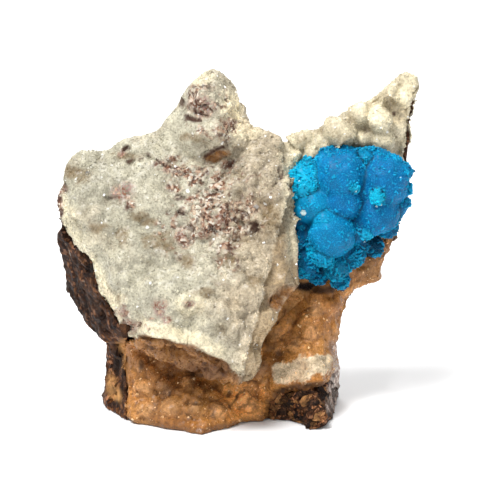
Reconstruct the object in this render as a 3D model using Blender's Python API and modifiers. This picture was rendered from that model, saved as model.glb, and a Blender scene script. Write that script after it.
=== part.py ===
"""A cavansite specimen: blue crystal rosettes on a pale druse plate, over a basalt matrix.

The specimen stands on a broken flat base. Its upper half is a slab that leans back and
overhangs the base, with a knob on its top edge and a wing at its right. A pale druse
plate covers the front of slab, knob and wing. A brown druse lines the hollow below the
overhang, and a cluster of cavansite rosettes sits in front of the wing.

Outlines are drawn in the display view, which looks down at the front by DISPLAY_TILT.
A display point is (x, s, y): x to the right, s up the view, y the depth away from it.
All lengths are in millimetres until an object is finished.
"""

import math

import bmesh
import bpy
import numpy as np
from mathutils import Matrix, Vector, noise

MM = 0.001
DISPLAY_TILT = math.radians(15.0)

# Mesh fineness
MASS_VOXEL = 1.0        # grid of one mass
BODY_VOXEL = 0.8        # grid of the joined body
BODY_TRIANGLES = 3200   # the body before it is parted into minerals
CUTTER_TRIANGLES = 700
CLUSTER_TRIANGLES = 2400
THINNED = "thinned"     # vertex group that says how readily a point is decimated
DRUSE_THINNING = 0.3    # the druses' weight in it, against the bare rock's 1
PLATE_HALF = 6.0        # half thickness of a mass before its depth is set
WELD = 0.01             # points of an outline plate closer than this are one
DEPTH_EASE = 2.0        # how freely a depth field passes by its points
RIM_FULLNESS = 0.35     # share of a mass's depth that is left at its outline
SOFTENING = 0.5         # strength of each smoothing pass over the joined body
SOFTENING_PASSES = 2
CUTTER_FRONT = -34      # depth of a cutter's near face, in front of everything
CUTTER_CORNERS = [(-60, 0), (60, 0), (0, 80)]  # three places (x, s) that face passes through
NODE_GAP = 0.7          # how far a cutter stands proud, which leaves the gap between nodes

# Masses of the rock: outline (x, s), then depth points (x, s, y) of its front and back.
BASE = {
    "outline": [
        (-29, 14), (-28.8, 9), (-28.8, 5.5), (-28.3, 0.5), (-28.3, -10.5), (21.2, -10.5),
        (21.2, 2), (20.8, 7.5), (20.3, 13), (21.3, 18.5), (22.2, 21.5), (22.8, 24.5),
        (24.5, 32.5), (12.5, 40), (-8, 40), (-22, 32.5), (-28.5, 22.5),
    ],
    "front": [
        (-27, -0.5, -2), (-22.2, -2.7, -10.4), (-15, -3.6, -14), (-7.3, -4.8, -18.4),
        (-2.6, -3.6, -14), (0.3, -2.8, -10.9), (3.6, -2.4, -9.3), (6.9, -2.2, -8.5),
        (10.6, -2.4, -9.3), (13.4, -3.3, -12.8), (16.3, -3.8, -14.8), (18.3, -3.4, -13.2),
        (19.6, -2.2, -8.5), (20.4, -0.1, -0.5), (21, 1.9, 7),
        (-27, -9, -1), (-15, -9, -14), (-7.3, -9, -18.4), (4, -9, -9.3), (16.3, -9, -14.8),
        (21, -9, -1),
        (-22, 5, -7), (-26, 6, 2), (-24, 11, -2), (-15, 4, -11), (-8, 6, -9), (-8, 12, -4),
        (-16, 12, -6), (0, 4, -7.5), (7, 4, -7), (7, 10, -6), (14, 2, -11.5), (18, 1, -12),
        (13, 8, -9), (18, 8, -7), (20.5, 8, 1), (10, 15, -4), (17, 15, -5), (20.5, 16, 1),
        (12, 22, -1), (20, 22, 0), (19, 30, 2), (0, 25, 0), (-20, 22, 0),
    ],
    "back": [
        (-27, 0, 12), (-27, 12, 8), (-15, 0, 20), (0, 0, 21), (15, 0, 19), (21, 0, 14),
        (21, 12, 10), (21, 25, 10), (0, 20, 17), (-20, 25, 12), (0, 38, 14), (12, 38, 12),
    ],
    "rim": 2.5,
    "breaks": [
        ((0, 19, 8), (0.1, 1, -0.05)), ((-24, 14, 6), (-0.8, 1, -0.1)),
        ((17, 14, 8), (0.9, 1, 0.1)), ((-8, 17, 24), (0.05, 1, 0.3)), ((-28, 4, 8), (-1, 0.2, 0.1)),
    ],
}
SLAB = {
    "outline": [
        (-36.8, 49.5), (-37.7, 46.5), (-37.8, 42), (-37.8, 34.5), (-37.4, 32), (-36.2, 29.5),
        (-35.8, 26), (-35.5, 23), (-35.2, 20.5), (-33, 18.2), (-29.5, 15), (-27, 13.5), (-21, 13),
        (-18, 11.5), (-13, 10.5), (-8, 8.5), (-3, 7), (1, 5.5), (3, 6.5), (5, 8.5), (5, 11),
        (4.5, 13), (6, 15.5), (8, 18.5), (9.5, 22.5), (12, 24.5), (12.5, 32.5), (12, 43),
        (12, 51), (10, 55), (8.4, 55.8), (7.8, 57.3), (5, 58.3), (2.5, 57.8), (-7, 53),
        (-15.5, 56.8), (-18, 57.7), (-21, 57.7), (-24.5, 56.8), (-27.5, 55.8), (-30.5, 54.8),
        (-35, 52.5),
    ],
    "front": [
        (2.5, 9, -21), (-8, 12, -20), (-20, 16, -17), (-26, 24, -14), (-33, 38, -10),
        (-31, 20, -3), (-36, 30, 1), (-29, 17, -5), (-36, 44, -5), (-28, 33, -13),
        (-34, 50, -1), (-24, 54, -1), (-12, 54, -2), (-20, 45, -8), (-15, 35, -13),
        (-5, 42, -9), (-5, 30, -15), (0, 20, -19), (8, 25, -15), (11, 40, -8), (11, 50, -2),
        (2, 55, -1), (2, 48, -5),
    ],
    "back": [
        (2.5, 9, -9), (-8, 12, -8), (-20, 14, 0), (-28, 17, 6), (-36, 28, 11), (-36, 45, 9),
        (-30, 53, 7), (-12, 54, 9), (2, 56, 8), (12, 52, 12), (12, 30, 10), (8, 20, 0),
        (-10, 25, 8), (-15, 40, 14), (0, 40, 14),
    ],
    "rim": 3.0,
    "breaks": [
        ((-33, 6, 40), (-1, 0.75, 0.2)), ((-20, 9, 53), (-0.3, 0.6, 1)),
        ((-28, 8, 19), (-0.7, 0.5, -0.75)), ((-10, 12, 42), (0, 1, 0.2)), ((6, 8, 54), (0.5, 0.6, 1)),
    ],
}
KNOB = {
    "outline": [
        (-16, 57), (-15.3, 58.5), (-13.7, 60.5), (-12.7, 62), (-11.6, 64), (-10.5, 66),
        (-9, 67.5), (-7.6, 69), (-6, 69.4), (-4.2, 69), (-2.7, 67.6), (-1.1, 66.3),
        (0.2, 64), (1.2, 62), (2.1, 59.5), (3, 57.5), (2.5, 53), (-2, 50), (-10, 50.5), (-14.5, 53),
    ],
    "front": [
        (-6.5, 69, 1), (-10, 64, -2), (-4, 64, -4), (0, 62, -1), (-13, 60, 0), (-6, 58, -6),
        (-1, 56, -6.5), (-10, 56, -4), (-4, 53, -7), (-5, 51, -5), (2, 57, 0),
    ],
    "back": [
        (-6.5, 69, 7), (-12, 62, 9), (0, 62, 9), (-6, 56, 12), (-14, 54, 10), (2, 54, 10),
    ],
    "rim": 3.0,
    "breaks": [((-2, 8, 62), (0.5, 1, 0.3)), ((-11, 7, 62), (-0.7, 1, 0.4))],
}
WING = {
    "outline": [
        (8, 53), (10, 54.8), (12, 56.7), (13.6, 57.7), (16.5, 57.4), (18.2, 58.4), (19.9, 59.9),
        (21.8, 61.4), (24.8, 62.9), (27.8, 64.4), (29.8, 66), (31.8, 67.5), (33.3, 68.7),
        (35.2, 69.8), (37.4, 69.6), (38, 67.8), (37.5, 65), (37.1, 63), (36.5, 60.5), (36, 58),
        (35.6, 55), (34.8, 51), (34.4, 46), (33.6, 42), (33, 38.5), (32, 34.5), (30.5, 32),
        (29.8, 30), (29.3, 26.7), (27.5, 26), (25.5, 25.5), (22.6, 22.5), (16.5, 22.5),
        (10.5, 28.5), (8.5, 39),
    ],
    "front": [
        (36, 67, 8), (31, 65, 6), (25, 60, 4), (18, 56, 3), (10, 53, 3), (12, 45, 2),
        (20, 48, 3), (30, 50, 4), (34, 50, 5), (34, 40, 4), (20, 35, 2), (30, 32, 3),
        (27, 26, 4), (20, 24, 2), (10, 32, 0),
    ],
    "back": [
        (36, 67, 14), (30, 62, 16), (20, 56, 14), (10, 53, 13), (34, 50, 16), (20, 45, 17),
        (34, 36, 15), (28, 27, 14), (15, 25, 15), (10, 35, 15),
    ],
    "rim": 2.0,
    "breaks": [
        ((20, 15, 48), (0.15, 1, 0.1)), ((33, 12, 40), (1, 0.9, -0.1)), ((30, 13, 62), (0.1, 1, 0.35)),
        ((26, 12, 26), (0.2, 0.8, -0.8)),
    ],
}

# Rounded lumps on the wing's front: (x, s, radius)
WING_LUMPS = [
    (21, 56.2, 2.7), (29.6, 58.7, 2.3), (26.5, 59.7, 1.9), (33.1, 62, 1.7), (13.4, 55, 2.1),
    (17.7, 56.6, 1.5), (24.5, 61.4, 1.7), (30.6, 64, 1.9), (34.3, 65.9, 1.7),
    (31.5, 55.2, 1.9), (27.6, 55.6, 1.9), (16.3, 53.2, 1.9), (34.1, 58.3, 1.5), (24.3, 54, 1.7),
]
LUMP_SINK = 0.35        # how much of its radius a lump's centre lies behind the surface

# Pits and hollows in the front: (x, s, radius, depth)
PITS = [
    (-3.5, 52, 2.4, 3.5), (-8, 60, 2.0, 1.6), (-26.5, 53.5, 1.6, 1.2), (-22, 51.5, 2.0, 1.5),
    (-17, 39, 2.6, 1.6), (-13, 38.5, 2.2, 1.4), (-17, 35.5, 1.8, 1.4), (-30, 49, 2.5, 1.2),
    (7, 22.5, 2.5, 1.0), (0.5, 34, 2.5, 1.0), (-24.5, 5.5, 2.4, 2.6), (-24, 9.5, 2.0, 2.2),
    (14.8, 16.5, 1.6, 1.6), (-6, 1, 2.2, 1.4), (1, 0.5, 1.6, 1.2), (-13, 8, 2.0, 1.5),
]

# The regions of the front that the two druses cover, and how deep each goes: (x, s, y)
PLATE = {
    "outline": [
        (-40, 53), (-39.5, 46), (-37.5, 44), (-36, 39), (-33.4, 34), (-31.4, 30),
        (-28, 24.8), (-24.4, 19), (-22, 15.5), (-20, 13.5), (-16, 10.5), (-8, 7.5), (-3.5, 5), (1.5, 3.5),
        (6.5, 5.5), (6.5, 9.5), (6, 13), (8, 15.5), (10, 19.5), (12, 23), (16, 27.5),
        (22, 31), (29, 34.5), (32, 38), (33.5, 43), (34, 51), (34.8, 59.5),
        (36, 63.5), (39, 68), (39, 74), (-40, 74),
    ],
    "floor": [
        (2.5, 9, -12), (-8, 12, -13), (-20, 16, -13), (-26, 24, -11), (-31, 36, -8),
        (-34.5, 37.5, -1), (-36.5, 43, 3), (-36.5, 48, 3), (-34, 52, 3),
        (-24, 55, 4), (-12, 56, 3), (-20, 45, -4),
        (-15, 35, -9), (-5, 42, -5), (-5, 30, -10), (0, 20, -13), (8, 25, -8), (11, 40, -1),
        (11, 50, 5), (2, 48, 0), (-6, 69, 5), (-6, 60, 2), (0, 64, 4), (36, 68, 11),
        (30, 64, 10), (20, 57, 8), (34, 52, 8), (20, 45, 6), (30, 36, 6), (20, 30, 4),
    ],
}
LINING = {
    "outline": [
        (-22, 14), (-22.5, 8), (-22, 0), (-21.5, -9), (6, -9), (5.5, 1), (8, 4), (13, 5),
        (19, 5.5), (24, 8), (24, 20), (27, 24), (33, 30), (34, 34), (30, 33.5), (23, 29),
        (17.5, 25.5), (13, 21), (10, 18), (4, 12.5), (-6, 13),
    ],
    "floor": [
        (-22, 0, -3), (-22, 12, 1), (-14, 2, -8), (-8, -4, -13), (-8, 8, -4), (-14, 12, -1),
        (0, 4, -4), (6, 4, -3), (6, 12, -1), (13, 8, -5), (18, 8, -3), (22, 10, 5),
        (12, 18, 0), (18, 18, 0), (22, 22, 5), (14, 24, 4), (28, 28, 7), (32, 33, 7),
    ],
}

# Surface roughness: height and width of each kind of relief
DRUSE_LUMP = (2.2, 7.0)
DRUSE_KNOB = (0.8, 3.4)
ROCK_HACKLE = (1.3, 8.0)
LINING_LUMP = (1.7, 6.5)
LUMP_CREST = 0.65       # relief at the top of a lump, which falls to below 0 in the creases
LUMP_FALL = 2.0         # how steeply it falls away from the top
HACKLE_LEVEL = 0.6      # what the ridges stand above
HACKLE_OCTAVES = 4
SWELL_SHARE = 0.5       # the wide swell under the ridges: its height beside theirs
SWELL_PACE = 0.6        # and its pace beside theirs
EDGE_RELIEF = 0.2       # share of the relief left where the surface is edge-on

# Cavansite rosettes: (x, s, y, radius) in the display view
ROSETTES = [
    (13.8, 45.8, -2, 3.7), (21, 47.4, -2, 5.3), (29.6, 46.4, -1.5, 5.4), (15.3, 41.7, -3, 4.2),
    (19, 35.9, -5, 5), (28.2, 39.6, -3, 4.5), (28.2, 43.7, -7, 1.8), (31.9, 41.5, 0, 2.7),
    (13.8, 30.2, -3, 2.9), (20.2, 29, -4, 2.8), (21, 26.5, -3, 2), (17.3, 31.4, -6, 2.3),
    (23.1, 31.4, -3, 2.7), (27.4, 33.5, 0, 2.3), (12.2, 35.1, -3, 2.4), (21.6, 42.3, -4, 3.8),
    (11.8, 45, -3, 1.9), (13.2, 49, -1, 1.8), (31, 50, -1, 2.5), (16.2, 48.6, -1.5, 1.9),
]
LARGE_ROSETTE = 3.5     # radius from which a rosette gets the finer sphere
BLADE_RISE = 0.13       # how far the blade tips stand proud, as a share of the radius
BLADE_DIP = 0.052       # how far the points between the tips lie back, in the same way
WANDER = 0.12           # how far a rosette departs from round
WANDER_PACE = 1.7       # how often it does so across its radius
SEED_STEP = 3.7         # sets each rosette's own pattern apart from the next
SOCKET_SCALE = 1.26     # a socket sphere beside its rosette
SOCKET_ROOM = 0.3       # and the room it adds around it
SOCKET_VOXEL = 0.5
SOCKET_SHARE = 0.12     # share of the socket's triangles that is kept

ROUGHNESS = 0.6
COLOURS = {
    "basalt": (0.060, 0.032, 0.024),
    "pale_druse": (0.62, 0.56, 0.44),
    "brown_druse": (0.42, 0.22, 0.09),
    "cavansite": (0.0, 0.17, 0.48),
}


def clear_scene():
    for obj in list(bpy.data.objects):
        bpy.data.objects.remove(obj)


def collection(name, hidden=False):
    made = bpy.data.collections.new(name)
    made.hide_render = hidden
    bpy.context.scene.collection.children.link(made)
    return made


def add_object(name, mesh, home):
    obj = bpy.data.objects.new(name, mesh)
    home.objects.link(obj)
    return obj


def evaluated_mesh(obj):
    graph = bpy.context.evaluated_depsgraph_get()
    return bpy.data.meshes.new_from_object(obj.evaluated_get(graph))


def apply_modifiers(obj):
    mesh = evaluated_mesh(obj)
    obj.modifiers.clear()
    obj.data = mesh


def points_of(mesh):
    flat = np.empty(len(mesh.vertices) * 3, np.float32)
    mesh.vertices.foreach_get("co", flat)
    return flat.reshape(-1, 3).astype(float)


def set_points(mesh, points):
    mesh.vertices.foreach_set("co", points.astype(np.float32).ravel())
    mesh.update()


def normals_of(mesh):
    flat = np.empty(len(mesh.vertices) * 3, np.float32)
    mesh.vertex_normals.foreach_get("vector", flat)
    return flat.reshape(-1, 3).astype(float)


# Display view


def row_points(x, s, y):
    """Display coordinates to the row frame."""
    z = (s - y * math.sin(DISPLAY_TILT)) / math.cos(DISPLAY_TILT)
    return np.stack([x, y, z], axis=-1)


def display_height(points):
    return points[:, 2] * math.cos(DISPLAY_TILT) + points[:, 1] * math.sin(DISPLAY_TILT)


def spline_kernel(distance):
    return distance**2 * np.log(distance + 1e-9)


def depth_field(controls):
    """A thin plate through the depth points: a function of x and s that returns y."""
    table = np.array(controls, float)
    places, depths = table[:, :2], table[:, 2]
    count = len(places)
    apart = np.linalg.norm(places[:, None] - places[None], axis=2)
    plane = np.hstack([np.ones((count, 1)), places])
    system = np.zeros((count + 3, count + 3))
    system[:count, :count] = spline_kernel(apart) + np.eye(count) * DEPTH_EASE
    system[:count, count:] = plane
    system[count:, :count] = plane.T
    solved = np.linalg.solve(system, np.concatenate([depths, np.zeros(3)]))

    def field(x, s):
        away = np.hypot(x[:, None] - places[None, :, 0], s[:, None] - places[None, :, 1])
        bent = spline_kernel(away) @ solved[:count]
        return bent + solved[count] + solved[count + 1] * x + solved[count + 2] * s

    return field


def outline_distance(outline, x, s):
    """Distance from each point to the nearest side of the outline."""
    corners = np.array(outline, float)
    nearest = np.full(len(x), np.inf)
    for start, end in zip(corners, np.roll(corners, -1, axis=0)):
        along = end - start
        share = ((x - start[0]) * along[0] + (s - start[1]) * along[1]) / (along @ along)
        share = np.clip(share, 0, 1)
        away = np.hypot(x - start[0] - share * along[0], s - start[1] - share * along[1])
        nearest = np.minimum(nearest, away)
    return nearest


# Masses


def outline_plate(name, outline, home):
    """The outline as a plate in the XY plane, remeshed to an even grid."""
    curve = bpy.data.curves.new(name, "CURVE")
    curve.dimensions = "2D"
    curve.fill_mode = "BOTH"
    curve.extrude = PLATE_HALF
    spline = curve.splines.new("POLY")
    spline.points.add(len(outline) - 1)
    for point, (x, s) in zip(spline.points, outline):
        point.co = (x, s, 0, 1)
    spline.use_cyclic_u = True
    drawn = add_object(name + "_outline", curve, home)
    plate = add_object(name, evaluated_mesh(drawn), home)
    bpy.data.objects.remove(drawn)
    bm = bmesh.new()
    bm.from_mesh(plate.data)
    bmesh.ops.remove_doubles(bm, verts=bm.verts, dist=WELD)
    bmesh.ops.recalc_face_normals(bm, faces=bm.faces)
    bm.to_mesh(plate.data)
    bm.free()
    remesh = plate.modifiers.new("Grid", "REMESH")
    remesh.mode = "VOXEL"
    remesh.voxel_size = MASS_VOXEL
    apply_modifiers(plate)
    return plate


def with_lumps(front, lumps):
    """The front depth with round lumps standing on it."""
    places = np.array(lumps, float)
    seats = front(places[:, 0], places[:, 1])

    def field(x, s):
        depth = front(x, s)
        for (lump_x, lump_s, radius), seat in zip(lumps, seats):
            rise = radius**2 - (x - lump_x) ** 2 - (s - lump_s) ** 2
            ball = seat + LUMP_SINK * radius - np.sqrt(np.maximum(rise, 0))
            depth = np.where(rise > 0, np.minimum(depth, ball), depth)
        return depth

    return field


def relief_mass(name, outline, front, back, rim, home):
    """A closed mass inside the outline, between two depth fields, rounded at its rim."""
    mass = outline_plate(name, outline, home)
    points = points_of(mass.data)
    x, s = points[:, 0], points[:, 1]
    share = np.clip((points[:, 2] / PLATE_HALF + 1) / 2, 0, 1)
    near, far = front(x, s), back(x, s)
    middle = (near + far) / 2
    if rim:
        inward = np.clip(outline_distance(outline, x, s) / rim, 0, 1)
        fullness = RIM_FULLNESS + (1 - RIM_FULLNESS) * np.sqrt(1 - (1 - inward) ** 2)
    else:
        fullness = 1
    depth = middle + (share - 0.5) * (far - near) * fullness
    set_points(mass.data, row_points(x, s, depth))
    # Depth runs away from the viewer, so the plate's mesh was turned inside out.
    mass.data.flip_normals()
    return mass


def joined(name, objects, home):
    """One closed body from overlapping ones."""
    bm = bmesh.new()
    for obj in objects:
        bm.from_mesh(obj.data)
        bpy.data.objects.remove(obj)
    mesh = bpy.data.meshes.new(name)
    bm.to_mesh(mesh)
    bm.free()
    body = add_object(name, mesh, home)
    remesh = body.modifiers.new("Union", "REMESH")
    remesh.mode = "VOXEL"
    remesh.voxel_size = BODY_VOXEL
    smooth = body.modifiers.new("Soften", "SMOOTH")
    smooth.factor = SOFTENING
    smooth.iterations = SOFTENING_PASSES
    apply_modifiers(body)
    return body


def cut_plane(mesh, point, normal):
    """Removes what lies outside the plane and closes the cut flat."""
    bm = bmesh.new()
    bm.from_mesh(mesh)
    whole = bm.verts[:] + bm.edges[:] + bm.faces[:]
    cut = bmesh.ops.bisect_plane(bm, geom=whole, plane_co=point, plane_no=normal, clear_outer=True)
    rim = [item for item in cut["geom_cut"] if isinstance(item, bmesh.types.BMEdge)]
    bmesh.ops.holes_fill(bm, edges=rim, sides=0)
    bm.to_mesh(mesh)
    bm.free()


# Surface relief


def round_lumps(point, width):
    """Above 0 on the tops of lumps of this width, below 0 in the creases between them."""
    nearest = noise.voronoi(Vector(point) / width)[0][0]
    return LUMP_CREST - LUMP_FALL * nearest**2


def hackle(point, width):
    """Sharp broken ridges of rock, about -1 to 1."""
    place = Vector(point) / width
    ridges = 2 * abs(noise.fractal(place, 1.0, 2.0, HACKLE_OCTAVES)) - HACKLE_LEVEL
    return ridges + SWELL_SHARE * noise.noise(place * SWELL_PACE)


def roughen(body, plate_floor, lining_floor):
    """Moves the surface along its normals: lumps on the druses, hackle on bare rock.

    The relief eases off where the surface turns edge-on, so the drawn outlines keep their shape.
    """
    points, normals = points_of(body.data), normals_of(body.data)
    x, s, y = points[:, 0], display_height(points), points[:, 1]
    on_plate = covered(PLATE["outline"], plate_floor, x, s, y)
    on_lining = covered(LINING["outline"], lining_floor, x, s, y) * (1 - on_plate)
    moved = np.zeros(len(points))
    for i, point in enumerate(points):
        rock = ROCK_HACKLE[0] * hackle(point, ROCK_HACKLE[1])
        pale = DRUSE_LUMP[0] * round_lumps(point, DRUSE_LUMP[1])
        pale += DRUSE_KNOB[0] * round_lumps(point, DRUSE_KNOB[1])
        brown = LINING_LUMP[0] * round_lumps(point, LINING_LUMP[1])
        bare = 1 - on_plate[i] - on_lining[i]
        moved[i] = bare * rock + on_plate[i] * pale + on_lining[i] * brown
    facing = np.abs(normals @ [0, math.cos(DISPLAY_TILT), -math.sin(DISPLAY_TILT)])
    moved *= EDGE_RELIEF + (1 - EDGE_RELIEF) * facing
    points += normals * moved[:, None]
    for pit_x, pit_s, radius, depth in PITS:
        away = np.hypot(x - pit_x, s - pit_s) / radius
        points[:, 1] += depth * np.exp(-(away**2)) * np.clip(-normals[:, 1], 0, 1)
    set_points(body.data, points)
    thinned = body.vertex_groups.new(name=THINNED)
    for i, druse in enumerate(on_plate + on_lining):
        thinned.add([i], DRUSE_THINNING if druse else 1.0, "REPLACE")


def inside_outline(outline, x, s):
    """Even-odd test of points against the outline."""
    corners = np.array(outline, float)
    inside = np.zeros(len(x), bool)
    for (x0, s0), (x1, s1) in zip(corners, np.roll(corners, -1, axis=0)):
        crosses = (s0 > s) != (s1 > s)
        at = x0 + (s - s0) * (x1 - x0) / np.where(s1 == s0, 1e-9, s1 - s0)
        inside ^= crosses & (x < at)
    return inside


def covered(outline, floor, x, s, y):
    """1 where a druse covers the rock, 0 where it doesn't."""
    return (inside_outline(outline, x, s) & (y < floor(x, s))).astype(float)


# Parting the body into minerals


def druse_cutter(name, region, home):
    """The space in front of a druse's floor, inside its outline."""
    front = depth_field([(x, s, CUTTER_FRONT) for x, s in CUTTER_CORNERS])
    floor = depth_field(region["floor"])
    return relief_mass(name, region["outline"], front, floor, 0, home)


def grown(cutter, name, by, home):
    """A copy of the cutter whose faces stand out by this much."""
    copy = add_object(name, cutter.data.copy(), home)
    swell = copy.modifiers.new("Swell", "DISPLACE")
    swell.mid_level = 0
    swell.strength = by
    apply_modifiers(copy)
    decimate(copy, CUTTER_TRIANGLES)
    return copy


def boolean(obj, operation, other, solver="EXACT"):
    modifier = obj.modifiers.new(operation.title(), "BOOLEAN")
    modifier.operation = operation
    modifier.solver = solver
    modifier.object = other
    apply_modifiers(obj)


def keep_largest(obj):
    """Drops the loose chips that a cut leaves beside the main piece."""
    bm = bmesh.new()
    bm.from_mesh(obj.data)
    left, pieces = set(bm.verts), []
    while left:
        front, piece = [left.pop()], []
        while front:
            vertex = front.pop()
            piece.append(vertex)
            linked = {edge.other_vert(vertex) for edge in vertex.link_edges} & left
            left -= linked
            front.extend(linked)
        pieces.append(piece)
    pieces.sort(key=len)
    chips = [vertex for piece in pieces[:-1] for vertex in piece]
    bmesh.ops.delete(bm, geom=chips, context="VERTS")
    bm.to_mesh(obj.data)
    bm.free()


# Cavansite


def rosette_mesh(radius, seed):
    """A sphere whose blade tips stand proud of it, each a flat-faced point."""
    bm = bmesh.new()
    fineness = 3 if radius >= LARGE_ROSETTE else 2
    bmesh.ops.create_icosphere(bm, subdivisions=fineness, radius=radius)
    raised = set()
    for vertex in bm.verts:
        linked = {edge.other_vert(vertex) for edge in vertex.link_edges}
        if linked & raised:
            continue
        raised.add(vertex)
    for vertex in bm.verts:
        wander = noise.noise(vertex.co * (WANDER_PACE / radius) + Vector((seed, 0, 0)))
        rise = BLADE_RISE if vertex in raised else -BLADE_DIP
        vertex.co *= 1 + rise + WANDER * wander
    mesh = bpy.data.meshes.new("rosette")
    bm.to_mesh(mesh)
    bm.free()
    return mesh


def rosette_place(x, s, y):
    return Vector(row_points(np.float64(x), np.float64(s), np.float64(y)))


def cavansite_cluster(home, guides):
    """All rosettes, grown together as one solid."""
    cluster = None
    for index, (x, s, y, radius) in enumerate(ROSETTES):
        mesh = rosette_mesh(radius, index * SEED_STEP)
        mesh.transform(Matrix.Translation(rosette_place(x, s, y)))
        if cluster is None:
            cluster = add_object("cavansite_cluster", mesh, home)
            continue
        boolean(cluster, "UNION", add_object(f"rosette_{index}", mesh, guides))
    return cluster


def cluster_socket(guides):
    """Plain spheres that clear every rosette: the seat that the cluster grew in."""
    bm = bmesh.new()
    for x, s, y, radius in ROSETTES:
        room = radius * SOCKET_SCALE + SOCKET_ROOM
        made = bmesh.ops.create_icosphere(bm, subdivisions=3, radius=room)
        bmesh.ops.translate(bm, verts=made["verts"], vec=rosette_place(x, s, y))
    mesh = bpy.data.meshes.new("socket")
    bm.to_mesh(mesh)
    bm.free()
    socket = add_object("socket", mesh, guides)
    remesh = socket.modifiers.new("Union", "REMESH")
    remesh.mode = "VOXEL"
    remesh.voxel_size = SOCKET_VOXEL
    thin = socket.modifiers.new("Thin", "DECIMATE")
    thin.ratio = SOCKET_SHARE
    apply_modifiers(socket)
    return socket


# Finish


def decimate(obj, triangles):
    """Fewer triangles, with the fewest left where the group of thinned points is strongest."""
    obj.data.calc_loop_triangles()
    thin = obj.modifiers.new("Thin", "DECIMATE")
    thin.ratio = min(1.0, triangles / len(obj.data.loop_triangles))
    if THINNED in obj.vertex_groups:
        thin.vertex_group = THINNED
    apply_modifiers(obj)


def material(name):
    made = bpy.data.materials.new(name)
    made.use_nodes = True
    shader = made.node_tree.nodes["Principled BSDF"]
    shader.inputs["Base Color"].default_value = (*COLOURS[name], 1)
    shader.inputs["Roughness"].default_value = ROUGHNESS
    return made


def stand_at_origin(objects):
    """Sets the specimen's bottom centre at the origin, in metres."""
    corners = np.concatenate([points_of(obj.data) for obj in objects])
    low, high = corners.min(axis=0), corners.max(axis=0)
    shift = np.array([(low[0] + high[0]) / 2, (low[1] + high[1]) / 2, low[2]])
    for obj in objects:
        set_points(obj.data, (points_of(obj.data) - shift) * MM)


def main():
    clear_scene()
    home = collection("cavansite_specimen")
    guides = collection("guides", hidden=True)
    masses = []
    for name, mass in (("base", BASE), ("slab", SLAB), ("knob", KNOB), ("wing", WING)):
        front, back = depth_field(mass["front"]), depth_field(mass["back"])
        if name == "wing":
            front = with_lumps(front, WING_LUMPS)
        solid = relief_mass(name, mass["outline"], front, back, mass["rim"], guides)
        for point, normal in mass["breaks"]:
            cut_plane(solid.data, point, normal)
        masses.append(solid)
    body = joined("basalt_matrix", masses, home)
    roughen(body, depth_field(PLATE["floor"]), depth_field(LINING["floor"]))
    decimate(body, BODY_TRIANGLES)
    cut_plane(body.data, (0, 0, 0), (0, 0, -1))
    boolean(body, "DIFFERENCE", cluster_socket(guides), "MANIFOLD")
    keep_largest(body)

    plate_cutter = druse_cutter("plate_cutter", PLATE, guides)
    lining_cutter = druse_cutter("lining_cutter", LINING, guides)
    wide_plate = grown(plate_cutter, "wide_plate_cutter", NODE_GAP, guides)
    wide_lining = grown(lining_cutter, "wide_lining_cutter", NODE_GAP, guides)
    decimate(plate_cutter, CUTTER_TRIANGLES)
    decimate(lining_cutter, CUTTER_TRIANGLES)

    plate = add_object("pale_druse_plate", body.data.copy(), home)
    boolean(plate, "INTERSECT", plate_cutter, "MANIFOLD")
    boolean(body, "DIFFERENCE", wide_plate, "MANIFOLD")
    lining = add_object("brown_druse_lining", body.data.copy(), home)
    boolean(lining, "INTERSECT", lining_cutter, "MANIFOLD")
    boolean(body, "DIFFERENCE", wide_lining, "MANIFOLD")
    cluster = cavansite_cluster(home, guides)
    decimate(cluster, CLUSTER_TRIANGLES)
    nodes = [body, plate, lining, cluster]
    slots = ["basalt", "pale_druse", "brown_druse", "cavansite"]
    for node, slot in zip(nodes, slots):
        keep_largest(node)
        node.data.materials.clear()
        node.data.materials.append(material(slot))
    stand_at_origin(nodes)
    for guide in list(guides.objects):
        bpy.data.objects.remove(guide)


main()
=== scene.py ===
"""The looks of the cavansite specimen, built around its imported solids.

Each CAD node is copied, remeshed finely and given its relief in numpy, in millimetres.
Joined meshes of small crystals grow on it: points and blocks on the two druses, grains on
the basalt, and blades on the cavansite rosettes. Places on the front are given in the
drawing view, which looks down at the front by TILT: (x, s), to the right and up the view.
Widths are in millimetres, and the whole number after a width is the seed of its noise.
"""

import itertools
import math

import bmesh
import bpy
import numpy as np
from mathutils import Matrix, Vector
from mathutils.bvhtree import BVHTree
from mathutils.kdtree import KDTree


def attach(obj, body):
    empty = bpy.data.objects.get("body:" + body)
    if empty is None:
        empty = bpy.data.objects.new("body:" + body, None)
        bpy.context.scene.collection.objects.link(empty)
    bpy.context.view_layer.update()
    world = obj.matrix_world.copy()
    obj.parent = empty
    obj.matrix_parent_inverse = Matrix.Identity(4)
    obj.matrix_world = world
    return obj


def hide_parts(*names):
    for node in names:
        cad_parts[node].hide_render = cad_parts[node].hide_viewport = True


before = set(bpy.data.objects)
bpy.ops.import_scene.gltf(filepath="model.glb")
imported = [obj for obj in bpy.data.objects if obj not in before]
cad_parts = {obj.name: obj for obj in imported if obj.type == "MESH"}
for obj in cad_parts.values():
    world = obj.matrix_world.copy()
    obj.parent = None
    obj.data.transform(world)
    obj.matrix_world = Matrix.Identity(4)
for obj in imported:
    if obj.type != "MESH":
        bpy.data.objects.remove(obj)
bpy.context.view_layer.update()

MM = 0.001
TILT = math.radians(15)
TO_VIEWER = np.array([0.0, -math.cos(TILT), math.sin(TILT)])
DRAWING_SHIFT = np.array([-0.0271, 1.1239, 0.0])  # from the drawing's origin to the row frame
VOXEL = 0.46  # of the rock's and the druses' surfaces
ROSETTE_VOXEL = 0.36
BLADE_SPACING = 0.34

# The camera sees this square, centred on this place of the drawing view.
VIEW_SIDE = 102.5
VIEW_CENTRE = (2.36, 32.66)
CAMERA_DISTANCE = 1.2
SENSOR_WIDTH = 36

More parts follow.
